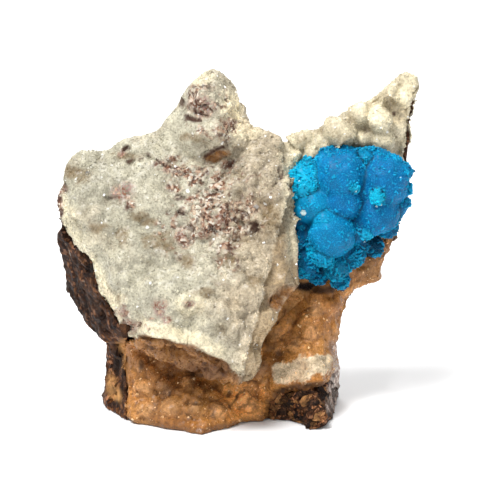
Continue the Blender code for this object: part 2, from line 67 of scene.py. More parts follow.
# In the tables a place is (x, s, half width, half height), and a round lump is (x, s, radius,
# height). A crack or a painted shadow line is the list of (x, s) that it runs through, and its half
# width.


# ---------------------------------------------------------------- numbers in space
def cell_hash(cells, seed):
    """A repeatable number from 0 to 1 for each whole-number cell."""
    mixed = cells[:, 0] * 73856093 ^ cells[:, 1] * 19349663 ^ cells[:, 2] * 83492791
    mixed = mixed ^ (seed * 40503 + 977)
    mixed = (mixed ^ (mixed >> 13)) * 1274126177
    mixed = (mixed ^ (mixed >> 16)) & 0x7FFFFFFF
    return mixed / 0x7FFFFFFF


def noise(points, width, seed):
    """Smooth noise from -1 to 1 with features of this width."""
    grid = points / width
    base = np.floor(grid).astype(np.int64)
    part = grid - base
    part = part * part * (3 - 2 * part)
    total = np.zeros(len(points))
    for corner in itertools.product((0, 1), repeat=3):
        weight = np.prod(np.where(corner, part, 1 - part), axis=1)
        total += weight * cell_hash(base + corner, seed)
    return 2 * total - 1


def layered(points, width, seed):
    """Noise of three widths, each half as wide and half as strong as the last."""
    total = np.zeros(len(points))
    for layer in range(3):
        total += noise(points, width / 2**layer, seed + layer) / 2**layer
    return total / 1.5


def cells_near(points, width, seed):
    """Each of the 27 cells round the points, and how many widths away its centre is."""
    grid = points / width
    base = np.floor(grid).astype(np.int64)
    for offset in itertools.product((-1, 0, 1), repeat=3):
        cell = base + offset
        centre = np.stack([cell_hash(cell, seed + axis) for axis in range(3)], axis=1)
        yield cell, np.linalg.norm(cell + centre - grid, axis=1)


FAR = 9.0  # further than any of the cells round a point


def lumps(points, width, seed, lowest=-FAR):
    """1 on the tops of round lumps of this width, 0 and below in the creases between them."""
    nearest = np.full(len(points), FAR)
    for _, away in cells_near(points, width, seed):
        nearest = np.minimum(nearest, away)
    return np.maximum(1 - 1.9 * nearest**2, lowest)


def seams(points, width, seed):
    """1 on the seams between the round lumps of the same width and seed, 0 on the lumps."""
    nearest = np.full(len(points), FAR)
    second = np.full(len(points), FAR)
    for _, away in cells_near(points, width, seed):
        second = np.minimum(second, np.maximum(away, nearest))
        nearest = np.minimum(nearest, away)
    return 1 - step(second - nearest, 0, 0.16)


def facets(points, width, seed):
    """A random height from -1 to 1 for each cell of this width: blocky broken relief."""
    nearest = np.full(len(points), FAR)
    height = np.zeros(len(points))
    for cell, away in cells_near(points, width, seed):
        closer = away < nearest
        nearest = np.where(closer, away, nearest)
        height = np.where(closer, 2 * cell_hash(cell, seed + 3) - 1, height)
    return height


def step(value, low, high):
    """0 below low, 1 above high, smooth between them."""
    share = np.clip((value - low) / (high - low), 0, 1)
    return share * share * (3 - 2 * share)


def over(value, edge, width):
    """0 to 1 across an edge, which is smooth over this width on both sides."""
    return step(value, edge - width, edge + width)


def under(value, edge, width):
    """1 to 0 across an edge."""
    return 1 - over(value, edge, width)


def most(*shares):
    """The largest of the shares at each point."""
    return np.maximum.reduce(np.broadcast_arrays(*shares))


def unit(vectors):
    return vectors / np.maximum(np.linalg.norm(vectors, axis=-1, keepdims=True), 1e-9)


def four(*columns):
    return np.stack([np.broadcast_to(column, np.shape(columns[0])) for column in columns], axis=1)


# ---------------------------------------------------------------- the drawing view
def to_row(x, s, y):
    """A place of the drawing view at depth y, in the row frame, in millimetres."""
    z = (s - y * math.sin(TILT)) / math.cos(TILT)
    return np.array([x, y, z]) + DRAWING_SHIFT


def to_drawing(points):
    """x and s of points in the row frame."""
    local = points - DRAWING_SHIFT
    return local[:, 0], local[:, 2] * math.cos(TILT) + local[:, 1] * math.sin(TILT)


def faced(normals, low, high):
    """0 to 1 as the normals turn towards the viewer, between two cosines."""
    return step(normals @ TO_VIEWER, low, high)


def patches(points, places, wobble, seed=11):
    """1 inside these places of the drawing view, 0 outside, with an uneven edge."""
    x, s = to_drawing(points)
    edge = wobble * layered(points, 1.6, seed)
    covered = np.zeros(len(points))
    for centre_x, centre_s, half_width, half_height in places:
        away = np.hypot((x - centre_x) / half_width, (s - centre_s) / half_height)
        covered = np.maximum(covered, 1 - step(away + edge, 0.55, 1.35))
    return covered


def toned(points, tones, wobble, seed):
    """How much lighter or darker each point is, from places that end in their change."""
    tone = np.zeros(len(points))
    for *place, change in tones:
        tone += change * patches(points, [place], wobble, seed)
    return tone


def chained(dark_lines):
    """Round places along each crack or painted shadow line, close enough to join."""
    places = []
    for corners, half_width in dark_lines:
        for start, end in zip(corners, corners[1:]):
            along = np.linspace(start, end, 2 + int(math.dist(start, end) / half_width))
            places += [(x, s, half_width, half_width) for x, s in along]
    return places


def inside(points, corners):
    """How far points lie inside a polygon of the drawing view, less than 0 outside it."""
    x, s = to_drawing(points)
    nearest = np.full(len(x), 99.0)
    crossings = np.zeros(len(x), int)
    for (x0, s0), (x1, s1) in zip(corners, corners[1:] + corners[:1]):
        wide, high = x1 - x0, s1 - s0
        along = np.clip(((x - x0) * wide + (s - s0) * high) / (wide**2 + high**2), 0, 1)
        nearest = np.minimum(nearest, np.hypot(x - x0 - along * wide, s - s0 - along * high))
        if s0 != s1:
            crossings += ((s0 > s) != (s1 > s)) & (x < x0 + (s - s0) * wide / high)
    return np.where(crossings % 2, nearest, -nearest)


def lump_rise(points, places):
    """The height of round lumps, a little out of round."""
    x, s = to_drawing(points)
    x, s = x + 0.8 * layered(points, 3, 136), s + 0.8 * layered(points, 3, 137)
    height = np.zeros(len(x))
    for centre_x, centre_s, radius, rise in places:
        away = np.hypot(x - centre_x, s - centre_s) / radius
        height = np.maximum(height, rise * np.clip(1 - away**2, 0, 1))
    return height


# ---------------------------------------------------------------- surfaces
class Surface:
    """A closed mesh in millimetres: points, faces of four, and point normals."""

    def __init__(self, points, faces):
        self.points = points
        self.faces = faces
        self.update()

    def update(self):
        corners = self.points[self.faces]
        across = np.cross(corners[:, 2] - corners[:, 0], corners[:, 3] - corners[:, 1])
        self.face_vectors = across / 2
        total = np.zeros_like(self.points)
        for corner, axis in itertools.product(range(4), range(3)):
            total[:, axis] += np.bincount(
                self.faces[:, corner], across[:, axis], len(self.points)
            )
        self.normals = unit(total)

    def move(self, height):
        self.points = self.points + self.normals * height[:, None]
        self.update()

    def rest(self):
        """Brings what is under the floor up to it."""
        self.points[:, 2] = np.maximum(self.points[:, 2], 0)
        self.update()

    def tree(self):
        return BVHTree.FromPolygons(self.points.tolist(), self.faces.tolist())


def remeshed(mesh, size, smoothing):
    """A fine, smooth surface round a mesh in millimetres, which is used up."""
    obj = bpy.data.objects.new("remesh_source", mesh)
    bpy.context.scene.collection.objects.link(obj)
    weld = obj.modifiers.new("weld", "WELD")
    weld.merge_threshold = 0.001
    remesh = obj.modifiers.new("remesh", "REMESH")
    remesh.mode = "VOXEL"
    remesh.voxel_size = size
    smooth = obj.modifiers.new("smooth", "SMOOTH")
    smooth.factor = 0.5
    smooth.iterations = smoothing
    graph = bpy.context.evaluated_depsgraph_get()
    fine = bpy.data.meshes.new_from_object(obj.evaluated_get(graph))
    points = np.empty(len(fine.vertices) * 3, np.float32)
    fine.vertices.foreach_get("co", points)
    faces = np.array([face.vertices[:] for face in fine.polygons if len(face.vertices) == 4])
    bpy.data.objects.remove(obj)
    bpy.data.meshes.remove(mesh)
    bpy.data.meshes.remove(fine)
    return Surface(points.reshape(-1, 3).astype(float), faces)


def fine_node(node, smoothing):
    """A fine copy of a CAD node's solid, in millimetres."""
    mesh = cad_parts[node].data.copy()
    points = np.empty(len(mesh.vertices) * 3, np.float32)
    mesh.vertices.foreach_get("co", points)
    mesh.vertices.foreach_set("co", points / MM)
    return remeshed(mesh, VOXEL, smoothing)


def node_tree(node):
    """A search tree of a CAD node's surface, in millimetres."""
    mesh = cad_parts[node].data
    points = [vertex.co / MM for vertex in mesh.vertices]
    return BVHTree.FromPolygons(points, [face.vertices[:] for face in mesh.polygons])


def nearest_on(tree, points, reach):
    """The nearest place on the tree's surface, its normal, and the distance, for each point."""
    places = np.array(points)
    normals = np.zeros_like(points)
    distances = np.full(len(points), reach)
    for index, point in enumerate(points):
        place, normal, _, distance = tree.find_nearest(Vector(point), reach)
        if place is not None:
            places[index], normals[index], distances[index] = place, normal, distance
    return places, normals, distances


def close_gap(surface, tree, reach=1.5, sink=0.35):
    """Draws the surface onto its neighbour where the two face each other, so no slot shows."""
    places, normals, distances = nearest_on(tree, surface.points, reach)
    share = 1 - step(distances, reach * 0.65, reach)
    target = places - normals * sink
    surface.points = surface.points + (target - surface.points) * share[:, None]
    surface.update()
    return share


def add_piece(name, points, faces, smooth, attributes, material, node, slot):
    """A piece in metres from arrays in millimetres. An attribute has 1 or 4 columns."""
    mesh = bpy.data.meshes.new(name)
    above_floor = np.column_stack([points[:, :2], np.maximum(points[:, 2], 0)])
    mesh.vertices.add(len(points))
    mesh.vertices.foreach_set("co", (above_floor * MM).astype(np.float32).ravel())
    mesh.loops.add(faces.size)
    mesh.loops.foreach_set("vertex_index", faces.astype(np.int32).ravel())
    mesh.polygons.add(len(faces))
    starts = np.arange(0, faces.size, faces.shape[1], dtype=np.int32)
    mesh.polygons.foreach_set("loop_start", starts)
    mesh.update(calc_edges=True)
    mesh.validate()
    mesh.polygons.foreach_set("use_smooth", np.full(len(mesh.polygons), smooth))
    for key, values in attributes.items():
        kind, field = ("FLOAT", "value") if values.ndim == 1 else ("FLOAT_COLOR", "color")
        layer = mesh.attributes.new(key, kind, "POINT")
        layer.data.foreach_set(field, values.astype(np.float32).ravel())
    mesh.materials.append(material)
    piece = bpy.data.objects.new(name, mesh)
    bpy.context.scene.collection.objects.link(piece)
    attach(piece, "root")
    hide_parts(node)


def add_surface(name, surface, values_at, material, node, slot):
    """A surface itself as a piece. Its random number is the middle one everywhere."""
    middle = np.full(len(surface.points), 0.5)
    values = values_at(surface.points, surface.normals, surface.height, middle)
    add_piece(name, surface.points, surface.faces, True, values, material, node, slot)


# ---------------------------------------------------------------- crystals
rng = np.random.default_rng(7)
CUBE = np.array(list(itertools.product((-1, 1), repeat=3)), float)
CUBE_FACES = np.array([
    (0, 1, 3, 2), (4, 6, 7, 5), (0, 4, 5, 1), (2, 3, 7, 6), (0, 2, 6, 4), (1, 5, 7, 3),
])
PYRAMID = np.array([
    (-0.8, -0.8, -0.5), (0.8, -0.8, -0.5), (0.8, 0.8, -0.5), (-0.8, 0.8, -0.5), (0, 0, 0.9),
])
PYRAMID_FACES = np.array([(0, 3, 2), (0, 2, 1), (0, 1, 4), (1, 2, 4), (2, 3, 4), (3, 0, 4)])


def on_corner(points):
    """The cube stood on its corner, its long diagonal up Z."""
    up = unit(np.array([[1.0, 1, 1]]))[0]
    side = unit(np.array([[1.0, -1, 0]]))[0]
    return points @ np.stack([side, np.cross(up, side), up], axis=1)


def scatter(surface, spacing, weight=None):
    """Places spread evenly over the surface, their normals, and the faces that they are on."""
    areas = np.linalg.norm(surface.face_vectors, axis=1)
    chance = areas if weight is None else areas * weight[surface.faces].mean(axis=1)
    wanted = int(areas.sum() / spacing**2 * 3)
    picked = rng.choice(len(areas), wanted, p=chance / chance.sum())
    share = rng.random((wanted, 2))
    corners = surface.points[surface.faces[picked]]
    low = corners[:, 0] + (corners[:, 1] - corners[:, 0]) * share[:, :1]
    high = corners[:, 3] + (corners[:, 2] - corners[:, 3]) * share[:, :1]
    places = low + (high - low) * share[:, 1:]
    normals = unit(surface.normals[surface.faces[picked]].mean(axis=1))
    _, first = np.unique(np.floor(places / spacing).astype(int), axis=0, return_index=True)
    first.sort()
    return places[first], normals[first], picked[first]


def stamped(template, faces, places, directions, spins, scales):
    """A copy of the template at each place, in one mesh, its Z along the direction."""
    helper = np.where(np.abs(directions[:, 2:]) < 0.9, [[0.0, 0, 1]], [[1.0, 0, 0]])
    across = unit(np.cross(helper, directions))
    beside = np.cross(directions, across)
    cosine, sine = np.cos(spins)[:, None], np.sin(spins)[:, None]
    side, other = across * cosine + beside * sine, beside * cosine - across * sine
    local = template[None] * scales[:, None, :]
    points = (
        places[:, None]
        + local[:, :, :1] * side[:, None]
        + local[:, :, 1:2] * other[:, None]
        + local[:, :, 2:] * directions[:, None]
    )
    joined = faces[None] + np.arange(len(places))[:, None, None] * len(template)
    return points.reshape(-1, 3), joined.reshape(-1, faces.shape[1])


BLOCK = (on_corner(CUBE), CUBE_FACES, 0.43)  # points, faces, and their reach for a size of 1
POINT = (PYRAMID, PYRAMID_FACES, 0.55)


def grow(name, template, surface, weight, spacing, size, glints, values_at, material, node, slot,
         lean=0.45, flat=(0.7, 1.0), sink=0.25, spread=0.25):
    """Crystals over a surface as one joined mesh, leaning every way.

    The weight is 1 where they grow and 0 where not. Glints is the share of bright ones, whose
    near-white colour is a painted glint.
    """
    places, normals, picked = scatter(surface, spacing, np.clip(weight, 0.001, 1))
    corner = surface.faces[picked, 0]
    kept = weight[corner] > rng.uniform(0.5, 0.95, len(corner))
    places, normals, corner = places[kept], normals[kept], corner[kept]
    count = len(places)
    points, faces, reach = template
    coarse = 1 + 0.35 * layered(places, 6, 101)
    sizes = size * coarse * rng.lognormal(0, spread, count)
    directions = unit(normals + rng.normal(0, lean, (count, 3)))
    widths, lengths = sizes * rng.uniform(*flat, count), sizes * rng.uniform(0.9, 1.3, count)
    scales = np.stack([widths, sizes, lengths], axis=1) * reach
    sunk = places - normals * (sizes * sink)[:, None]
    spins = rng.uniform(0, 2 * math.pi, count)
    points, faces = stamped(points, faces, sunk, directions, spins, scales)
    values = values_at(places, normals, surface.height[corner], rng.random(count))
    values["glint"] = (rng.random(count) < glints) * (1 - values["stains_and_painted_light"][:, 3])
    values["glint"] = values["glint"] * (1 - values.get("brown", 0))
    values = {key: np.repeat(value, len(template[0]), axis=0) for key, value in values.items()}
    add_piece(name, points, faces, False, values, material, node, slot)


# ---------------------------------------------------------------- materials
class Shader:
    """A node material with a Principled surface, and short ways to add nodes to it.

    It keeps the colour so far, which tint and shade work on.
    """

    def __init__(self, name):
        self.material = bpy.data.materials.new(name)
        self.material.use_nodes = True
        self.coordinates = self.node("TexCoord")["Object"]
        self.colour = None

    def link(self, value, socket):
        if isinstance(value, bpy.types.NodeSocket):
            self.material.node_tree.links.new(value, socket)
        elif socket.type == "RGBA":
            socket.default_value = (*value, 1)
        else:
            socket.default_value = value

    def node(self, kind, inputs=(), **settings):
        """A new node's outputs. Its inputs are linked or set by name or by place."""
        node = self.material.node_tree.nodes.new("ShaderNode" + kind)
        for name, value in settings.items():
            setattr(node, name, value)
        for name, value in dict(inputs).items():
            self.link(value, node.inputs[name])
        return node.outputs

    def attribute(self, name):
        """The four channels of a point attribute."""
        found = self.node("Attribute", attribute_name=name)
        split = self.node("SeparateColor", {"Color": found["Color"]})
        return [split[0], split[1], split[2], found["Alpha"]]

    def value(self, name):
        return self.node("Attribute", attribute_name=name)["Fac"]

    def noise(self, width, detail=3.0, roughness=0.55):
        """Noise whose features are about this many millimetres wide."""
        return self.node("TexNoise", {
            "Vector": self.coordinates, "Scale": 1 / (width * MM), "Detail": detail,
            "Roughness": roughness,
        })["Fac"]

    def grit(self, width):
        """A random value from 0 to 1 for each small cell of this width."""
        cells = self.node("TexVoronoi", {"Vector": self.coordinates, "Scale": 1 / (width * MM)})
        return self.node("SeparateColor", {"Color": cells["Color"]})["Red"]

    def span(self, value, low, high, to_low=0.0, to_high=1.0):
        """The value taken smoothly from one range to another."""
        return self.node("MapRange", {
            "Value": value, "From Min": low, "From Max": high, "To Min": to_low, "To Max": to_high,
        }, interpolation_type="SMOOTHSTEP")["Result"]

    def math(self, operation, first, second):
        return self.node("Math", {0: first, 1: second}, operation=operation)[0]

    def times(self, first, second):
        return self.math("MULTIPLY", first, second)

    def mix(self, share, first, second, blend="MIX"):
        inputs = {0: share, 6: first, 7: second}
        return self.node("Mix", inputs, data_type="RGBA", blend_type=blend)[2]

    def tint(self, share, colour):
        self.colour = self.mix(share, self.colour, colour)

    def shaded(self, factor, *limits):
        """The colour times a number, or times that number's span."""
        factor = self.span(factor, *limits) if limits else factor
        grey = self.node("CombineColor", {0: factor, 1: factor, 2: factor})[0]
        return self.mix(1.0, self.colour, grey, "MULTIPLY")

    def shade(self, factor, *limits):
        self.colour = self.shaded(factor, *limits)

    def ramp(self, value, *stops):
        node = self.material.node_tree.nodes.new("ShaderNodeValToRGB")
        self.link(value, node.inputs["Fac"])
        while len(node.color_ramp.elements) < len(stops):
            node.color_ramp.elements.new(0.5)
        for element, (place, colour) in zip(node.color_ramp.elements, stops):
            element.position = place
            element.color = (*colour, 1)
        return node.outputs["Color"]

    def bump(self, height, depth, **below):
        """Relief of this many millimetres in the shading, on the Normal below if one is given."""
        return self.node("Bump", {"Height": height, "Distance": depth * MM, **below})["Normal"]

    def finish(self, **settings):
        surface = self.material.node_tree.nodes["Principled BSDF"]
        for name, value in {"Base_Color": self.colour, **settings}.items():
            self.link(value, surface.inputs[name.replace("_", " ")])
        return self.material


def druse_material(name, pale, tan, cream, stains_and_painted_light, clear):
    """A crust of small crystals. Point attributes say where it is stained and where shade and light
    are painted.

    body: tan share, cream share, height on its lump (low places get painted shade, high ones
    painted light), random number of the crystal
    stains: rust, mauve, olive, dark; olive and dark also hold painted shadows
    brown, tone and glint: the brown druse's share, how much lighter (in places painted light), and
    1 on glint crystals painted near white
    """
    shader = Shader(name)
    tan_share, cream_share, height, chance = shader.attribute("body")
    rust, mauve, olive, dark = shader.attribute("stains_and_painted_light")
    glint, brown = shader.value("glint"), shader.value("brown")
    fine = shader.noise(1.3, 4, 0.65)
    grain = shader.noise(0.5, 2, 0.7)
    speck = shader.noise(0.8, 3, 0.75)
    mottled = shader.noise(2.8, 3, 0.6)
    bits = shader.grit(0.55)
    shader.colour = shader.mix(tan_share, pale, tan)
    shader.tint(cream_share, cream)
    shader.tint(shader.span(shader.noise(7, 4), 0.5, 0.7, 0, 0.4), tan)
    soft = shader.shaded(mottled, 0.36, 0.62, 0.90, 1.06)
    shader.colour = shader.mix(tan_share, soft, shader.shaded(mottled, 0.36, 0.62, 0.84, 1.14))
    # Painted shade: the creases are tinted tan-brown, partly a real tan in them and partly painted
    # shade.
    creased = shader.math("ADD", shader.times(tan_share, 0.85), 0.30)
    creased = shader.times(creased, shader.span(cream_share, 0.2, 0.9, 1, 0.15))
    shader.tint(shader.times(shader.span(height, 0.2, -0.55), creased), stains_and_painted_light["crease"])
    shader.shade(fine, 0.3, 0.7, 0.86, 1.10)
    shader.shade(grain, 0.35, 0.65, 0.80, 1.16)
    # Painted shade in the low places and painted light on the tops of the lumps.
    shader.shade(height, -0.5, 0.9, 0.84, 1.08)
    shader.shade(chance, 0, 0.5, 0.76, 1)
    shader.shade(chance, 0.70, 1, 1, 1.30)
    # Tone: lighter and darker places, in places painted light.
    shader.shade(shader.math("ADD", shader.value("tone"), 1))
    shader.tint(shader.times(olive, shader.span(speck, 0.3, 0.6, 0.5, 1)), stains_and_painted_light["olive"])
    pinks = shader.mix(shader.span(bits, 0, 0.6), stains_and_painted_light["rust"], stains_and_painted_light["mauve"])
    pinks = shader.mix(shader.span(bits, 0.78, 0.9), pinks, stains_and_painted_light["rust_light"])
    shader.tint(shader.times(mauve, shader.span(grain, 0.38, 0.52)), pinks)
    reds = shader.ramp(
        bits, (0.05, stains_and_painted_light["rust_dark"]), (0.38, stains_and_painted_light["rust"]), (0.66, stains_and_painted_light["rust_light"]),
        (0.84, stains_and_painted_light["rust_white"]),
    )
    shader.tint(shader.times(rust, shader.span(speck, 0.34, 0.54, 0.3, 1)), reds)
    druse = shader.ramp(
        fine, (0.32, (0.110, 0.042, 0.011)), (0.5, (0.29, 0.128, 0.036)), (0.7, (0.46, 0.24, 0.092))
    )
    # Painted shade: the brown druse turns to a dark colour in its low places.
    shader.tint(brown, shader.mix(shader.span(height, 0.25, -0.6), druse, stains_and_painted_light["under"]))
    shader.tint(dark, stains_and_painted_light["dark"])
    # Painted highlight: glint crystals are tinted near white.
    shader.tint(glint, stains_and_painted_light["glint"])
    rough = shader.span(shader.noise(0.5, 2), 0.35, 0.65, 0.18, 0.45)
    rough = shader.times(rough, shader.span(glint, 0, 1, 1, 0.35))
    stained = shader.times(shader.math("MAXIMUM", rust, dark), 0.4)
    return shader.finish(
        Roughness=shader.math("ADD", rough, stained), Transmission_Weight=clear, IOR=1.5,
        Normal=shader.bump(shader.noise(0.22, 3, 0.6), 0.05), Specular_IOR_Level=0.35,
    )


def basalt_material():
    """Broken basalt.

    body: mauve-grey share, brown druse share, height (low places get painted shade, high ones
    painted light), random number of the grain
    stains: fleck, pale mineral, orange, dark; dark also holds painted shadow under the rosettes
    """
    shader = Shader("basalt_broken")
    mauve_share, brown_share, height, chance = shader.attribute("body")
    fleck, pale_share, orange_share, dark = shader.attribute("stains_and_painted_light")
    fine = shader.noise(1.4, 5, 0.75)
    broad = shader.noise(14, 4, 0.6)
    grains = shader.grit(0.6)
    shader.colour = shader.ramp(
        fine, (0.38, (0.008, 0.003, 0.002)), (0.46, (0.040, 0.012, 0.004)),
        (0.55, (0.120, 0.040, 0.011)), (0.64, (0.27, 0.120, 0.042)), (0.78, (0.46, 0.28, 0.13)),
    )
    shader.tint(shader.span(shader.noise(6, 5), 0.45, 0.7, 0, 0.45), (0.070, 0.024, 0.009))
    plain = shader.ramp(
        shader.noise(3, 5, 0.7), (0.35, (0.016, 0.006, 0.003)), (0.55, (0.070, 0.032, 0.016)),
        (0.72, (0.16, 0.080, 0.040)),
    )
    shader.tint(shader.span(fleck, 0, 1, 0.7, 0), plain)
    shader.tint(shader.span(broad, 0.52, 0.66, 0, 0.5), (0.11, 0.052, 0.024))
    shader.shade(broad, 0.32, 0.5, 0.55, 1)
    shader.tint(shader.times(fleck, shader.span(grains, 0.80, 0.88, 0, 0.85)), (0.37, 0.165, 0.080))
    shader.tint(shader.times(fleck, shader.span(grains, 0.24, 0.14, 0, 0.7)), (0.020, 0.007, 0.004))
    shader.shade(chance, 0, 1, 0.35, 1.65)
    lit = shader.span(fine, 0.3, 0.6, 0.4, 1)
    shader.tint(shader.times(orange_share, lit), (0.52, 0.27, 0.095))
    shader.tint(brown_share, shader.ramp(
        fine, (0.32, (0.14, 0.060, 0.020)), (0.5, (0.36, 0.175, 0.062)), (0.7, (0.52, 0.29, 0.115))
    ))
    shader.tint(mauve_share, shader.ramp(
        shader.noise(0.9, 4, 0.7), (0.35, (0.22, 0.140, 0.115)), (0.5, (0.48, 0.38, 0.33)),
        (0.64, (0.80, 0.74, 0.68)),
    ))
    shader.tint(pale_share, (0.55, 0.48, 0.38))
    # Painted shade in the low places and painted light on the high ones.
    shader.shade(height, -0.9, 0.9, 0.5, 1.35)
    shader.tint(dark, (0.010, 0.006, 0.005))
    pitted = shader.bump(shader.noise(0.3, 4, 0.7), 0.15)
    return shader.finish(
        Roughness=shader.span(fine, 0.3, 0.7, 0.45, 0.85), Specular_IOR_Level=0.15,
        Normal=shader.bump(fine, 0.35, Normal=pitted),
    )


def cavansite_material():
    """Blue blades, darkened at their feet as painted shade and lightened at their tips as painted
    light. body: tip share, light share (partly painted light), dark share (partly painted shade),
    random number of the blade.
    """
    shader = Shader("cavansite_blue")
    tip, light, deep, chance = shader.attribute("body")
    # Painted shade at the blades' feet and painted light at their tips.
    shader.colour = shader.ramp(
        tip, (0, (0, 0.018, 0.070)), (0.5, (0, 0.060, 0.190)),
        (0.8, (0.001, 0.165, 0.385)), (1, (0.004, 0.260, 0.550)),
    )
    shader.tint(light, (0.006, 0.480, 0.700))
    shader.tint(deep, (0, 0.040, 0.085))
    shader.shade(chance, 0, 1, 0.92, 1.08)
    shader.shade(shader.noise(2.6), 0.35, 0.65, 0.86, 1.10)
    # Painted highlight: a few blades are tinted near white.
    shader.tint(shader.value("glint"), (0.55, 0.85, 0.95))
    return shader.finish(
        Roughness=shader.span(shader.noise(0.6, 2), 0.35, 0.65, 0.32, 0.55),
        Normal=shader.bump(shader.noise(0.25, 2), 0.04), IOR=1.5, Specular_IOR_Level=0.14,
        Subsurface_Weight=0.3, Subsurface_Scale=0.0005, Subsurface_Radius=(0.2, 0.8, 1.0),
    )


def clear_material():
    """Clear colourless crystal."""
    shader = Shader("clear_crystal")
    shader.colour = (0.96, 0.95, 0.92)
    rough = shader.span(shader.noise(0.4, 2), 0.4, 0.7, 0.03, 0.12)
    return shader.finish(Roughness=rough, IOR=1.53, Transmission_Weight=0.9)


def white_material():
    """Small white grains."""
    shader = Shader("white_grain")
    tone = shader.noise(0.5)
    shader.colour = shader.ramp(tone, (0.35, (0.22, 0.34, 0.36)), (0.6, (0.52, 0.64, 0.64)))
    rough = shader.span(tone, 0.3, 0.7, 0.15, 0.4)
    return shader.finish(Roughness=rough, Normal=shader.bump(tone, 0.1), IOR=1.5)


def floor_material():
    shader = Shader("studio_floor")
    tone = shader.noise(400, 2)
    shader.colour = shader.ramp(tone, (0.3, (0.93, 0.93, 0.93)), (0.7, (0.95, 0.95, 0.95)))
    return shader.finish(Roughness=0.8)


PALE_STAINS_AND_PAINTED_LIGHT = {
    "olive": (0.18, 0.122, 0.055), "mauve": (0.26, 0.165, 0.140), "rust": (0.20, 0.080, 0.040),
    "rust_dark": (0.050, 0.018, 0.010), "rust_light": (0.48, 0.31, 0.21),
    "rust_white": (0.66, 0.60, 0.51), "dark": (0.055, 0.019, 0.010), "glint": (0.93, 0.92, 0.88),
    "crease": (0.34, 0.25, 0.145), "under": (0.075, 0.031, 0.009),
}
BROWN_STAINS_AND_PAINTED_LIGHT = {
    **PALE_STAINS_AND_PAINTED_LIGHT,
    "olive": (0.12, 0.062, 0.028), "mauve": (0.36, 0.28, 0.25), "rust": (0.12, 0.046, 0.014),
    "rust_dark": (0.060, 0.022, 0.007), "rust_light": (0.20, 0.085, 0.027),
    "rust_white": (0.26, 0.115, 0.036), "dark": (0.030, 0.013, 0.007), "glint": (0.98, 0.66, 0.34),
    "crease": (0.17, 0.070, 0.022),
}

# ---------------------------------------------------------------- basalt
ROCK_REACH = 2.6  # how near another node tucks the rock in under it
# Painted shadow in the crevices under the rosettes.
BROWN_CREVICES = [
    (13, 25.3, 5, 0.9), (18.6, 24.4, 3.6, 1), (9.6, 24.2, 1.6, 0.7), (23.6, 28.6, 1.2, 1.6),
    (28.6, 33.6, 1.6, 0.6),
]
THIN_ROCK = [  # thin edges of the basalt, whose relief is kept low
    (-37.2, 38.4, 2.6, 4), (36.6, 61, 2.4, 10), (34.8, 48, 2.4, 8), (27, 25.6, 3.4, 2.4),
]
PALE_ROCK = [  # where the pale druse runs on over the basalt
    (1.4, 59.5, 2.2, 4), (9.4, 56.4, 2.4, 1.6), (36, 62.4, 1.9, 5), (35.2, 57.6, 1.3, 3),
    (14, 58.6, 4, 1.6), (22.8, 62, 4.4, 2), (29, 66, 3.4, 2.6), (3.6, 57.4, 4, 1.6),
]
ORANGE_ROCK = [(-26.2, 4.6, 1.2, 2.8), (-24.8, 2.4, 1.2, 1.6), (-23.6, 12.8, 1.6, 1.6)]
GROOVES = [(-23.6, 5.4, 0.9, 3.6), (-25, 9.4, 1.1, 3), (-25.6, 1, 1.6, 0.9)]


def brown_on_rock(points, normals):
    """1 where the brown druse runs on over the basalt, between its own crust and the rosettes."""
    x, s = to_drawing(points)
    drift = 0.7 * layered(points, 2.5, 41)
    strip = over(x, 1.5, 1) * under(x, 24, 1) * over(s, 8.5, 1) * under(s, 32, 1)
    corner = over(x, 21, 1) * over(s, 21, 0.6) * under(s + drift, 35, 0.8)
    left = under(x, -18, 1) * over(x, -24, 0.7) * over(s, 8, 1) * under(s, 15, 0.8)
    return most(strip, corner, left) * faced(normals, 0, 0.35)


def pale_on_rock(points, normals):
    return patches(points, PALE_ROCK, 0.2, 59) * faced(normals, -0.35, 0.05)


def low_right(x, s):
    """1 on the dark patch of rock at the base's lower right."""
    return over(x, 6, 1) * under(s, 7, 1)


def basalt_values(points, normals, height, chance):
    x, s = to_drawing(points)
    facing = faced(normals, -0.1, 0.3)
    drift = 0.8 * layered(points, 2, 49)
    mauve = over(x + drift, 18.3, 0.6) * under(s, 14.5, 1.5) * over(s, -0.5, 1.5) * facing
    rugged = low_right(x, s) * facing
    chunks = rugged * step(noise(points, 1.3, 69), 0.05, 0.4)
    orange = most(patches(points, ORANGE_ROCK, 0.5), 0.40 * chunks)
    groove = patches(points, GROOVES, 0.4)
    left_strip = under(x, -18, 2) * over(s, 15, 2)
    # Painted shadow in the crevices under the rosettes, black grains on the rugged patch, and the
    # left strip darker.
    darkened = most(
        patches(points, BROWN_CREVICES, 0.6, 53),
        0.85 * rugged * step(noise(points, 1.1, 66), 0.05, 0.3),
        left_strip * (0.42 + 0.42 * step(noise(points, 1.7, 70), -0.2, 0.3)),
    )
    veiled = 1 - 0.75 * faced(-normals, -0.3, 0.3) * step(layered(points, 9, 68), -0.5, 0.1)
    fleck = most(step(layered(points, 5, 51), -0.6, 0.2) * veiled, rugged)
    dotted = lumps(points, 8, 58) + 0.07 * layered(points, 1, 60) + 0.05 * noise(points, 11, 62)
    amygdule = step(dotted, 0.93, 0.97) * step(noise(points, 17, 64), -0.1, 0.1)
    pale = most(
        step(layered(points, 1.5, 57), 0.74, 0.82) * 0.6, pale_on_rock(points, normals),
        0.8 * amygdule * (1 - facing),
    )
    dark = most(groove * 0.85, darkened) * facing
    return {
        "body": four(mauve, brown_on_rock(points, normals), height, chance),
        "stains_and_painted_light": four(fleck, pale, orange * facing * 0.9, dark),
    }


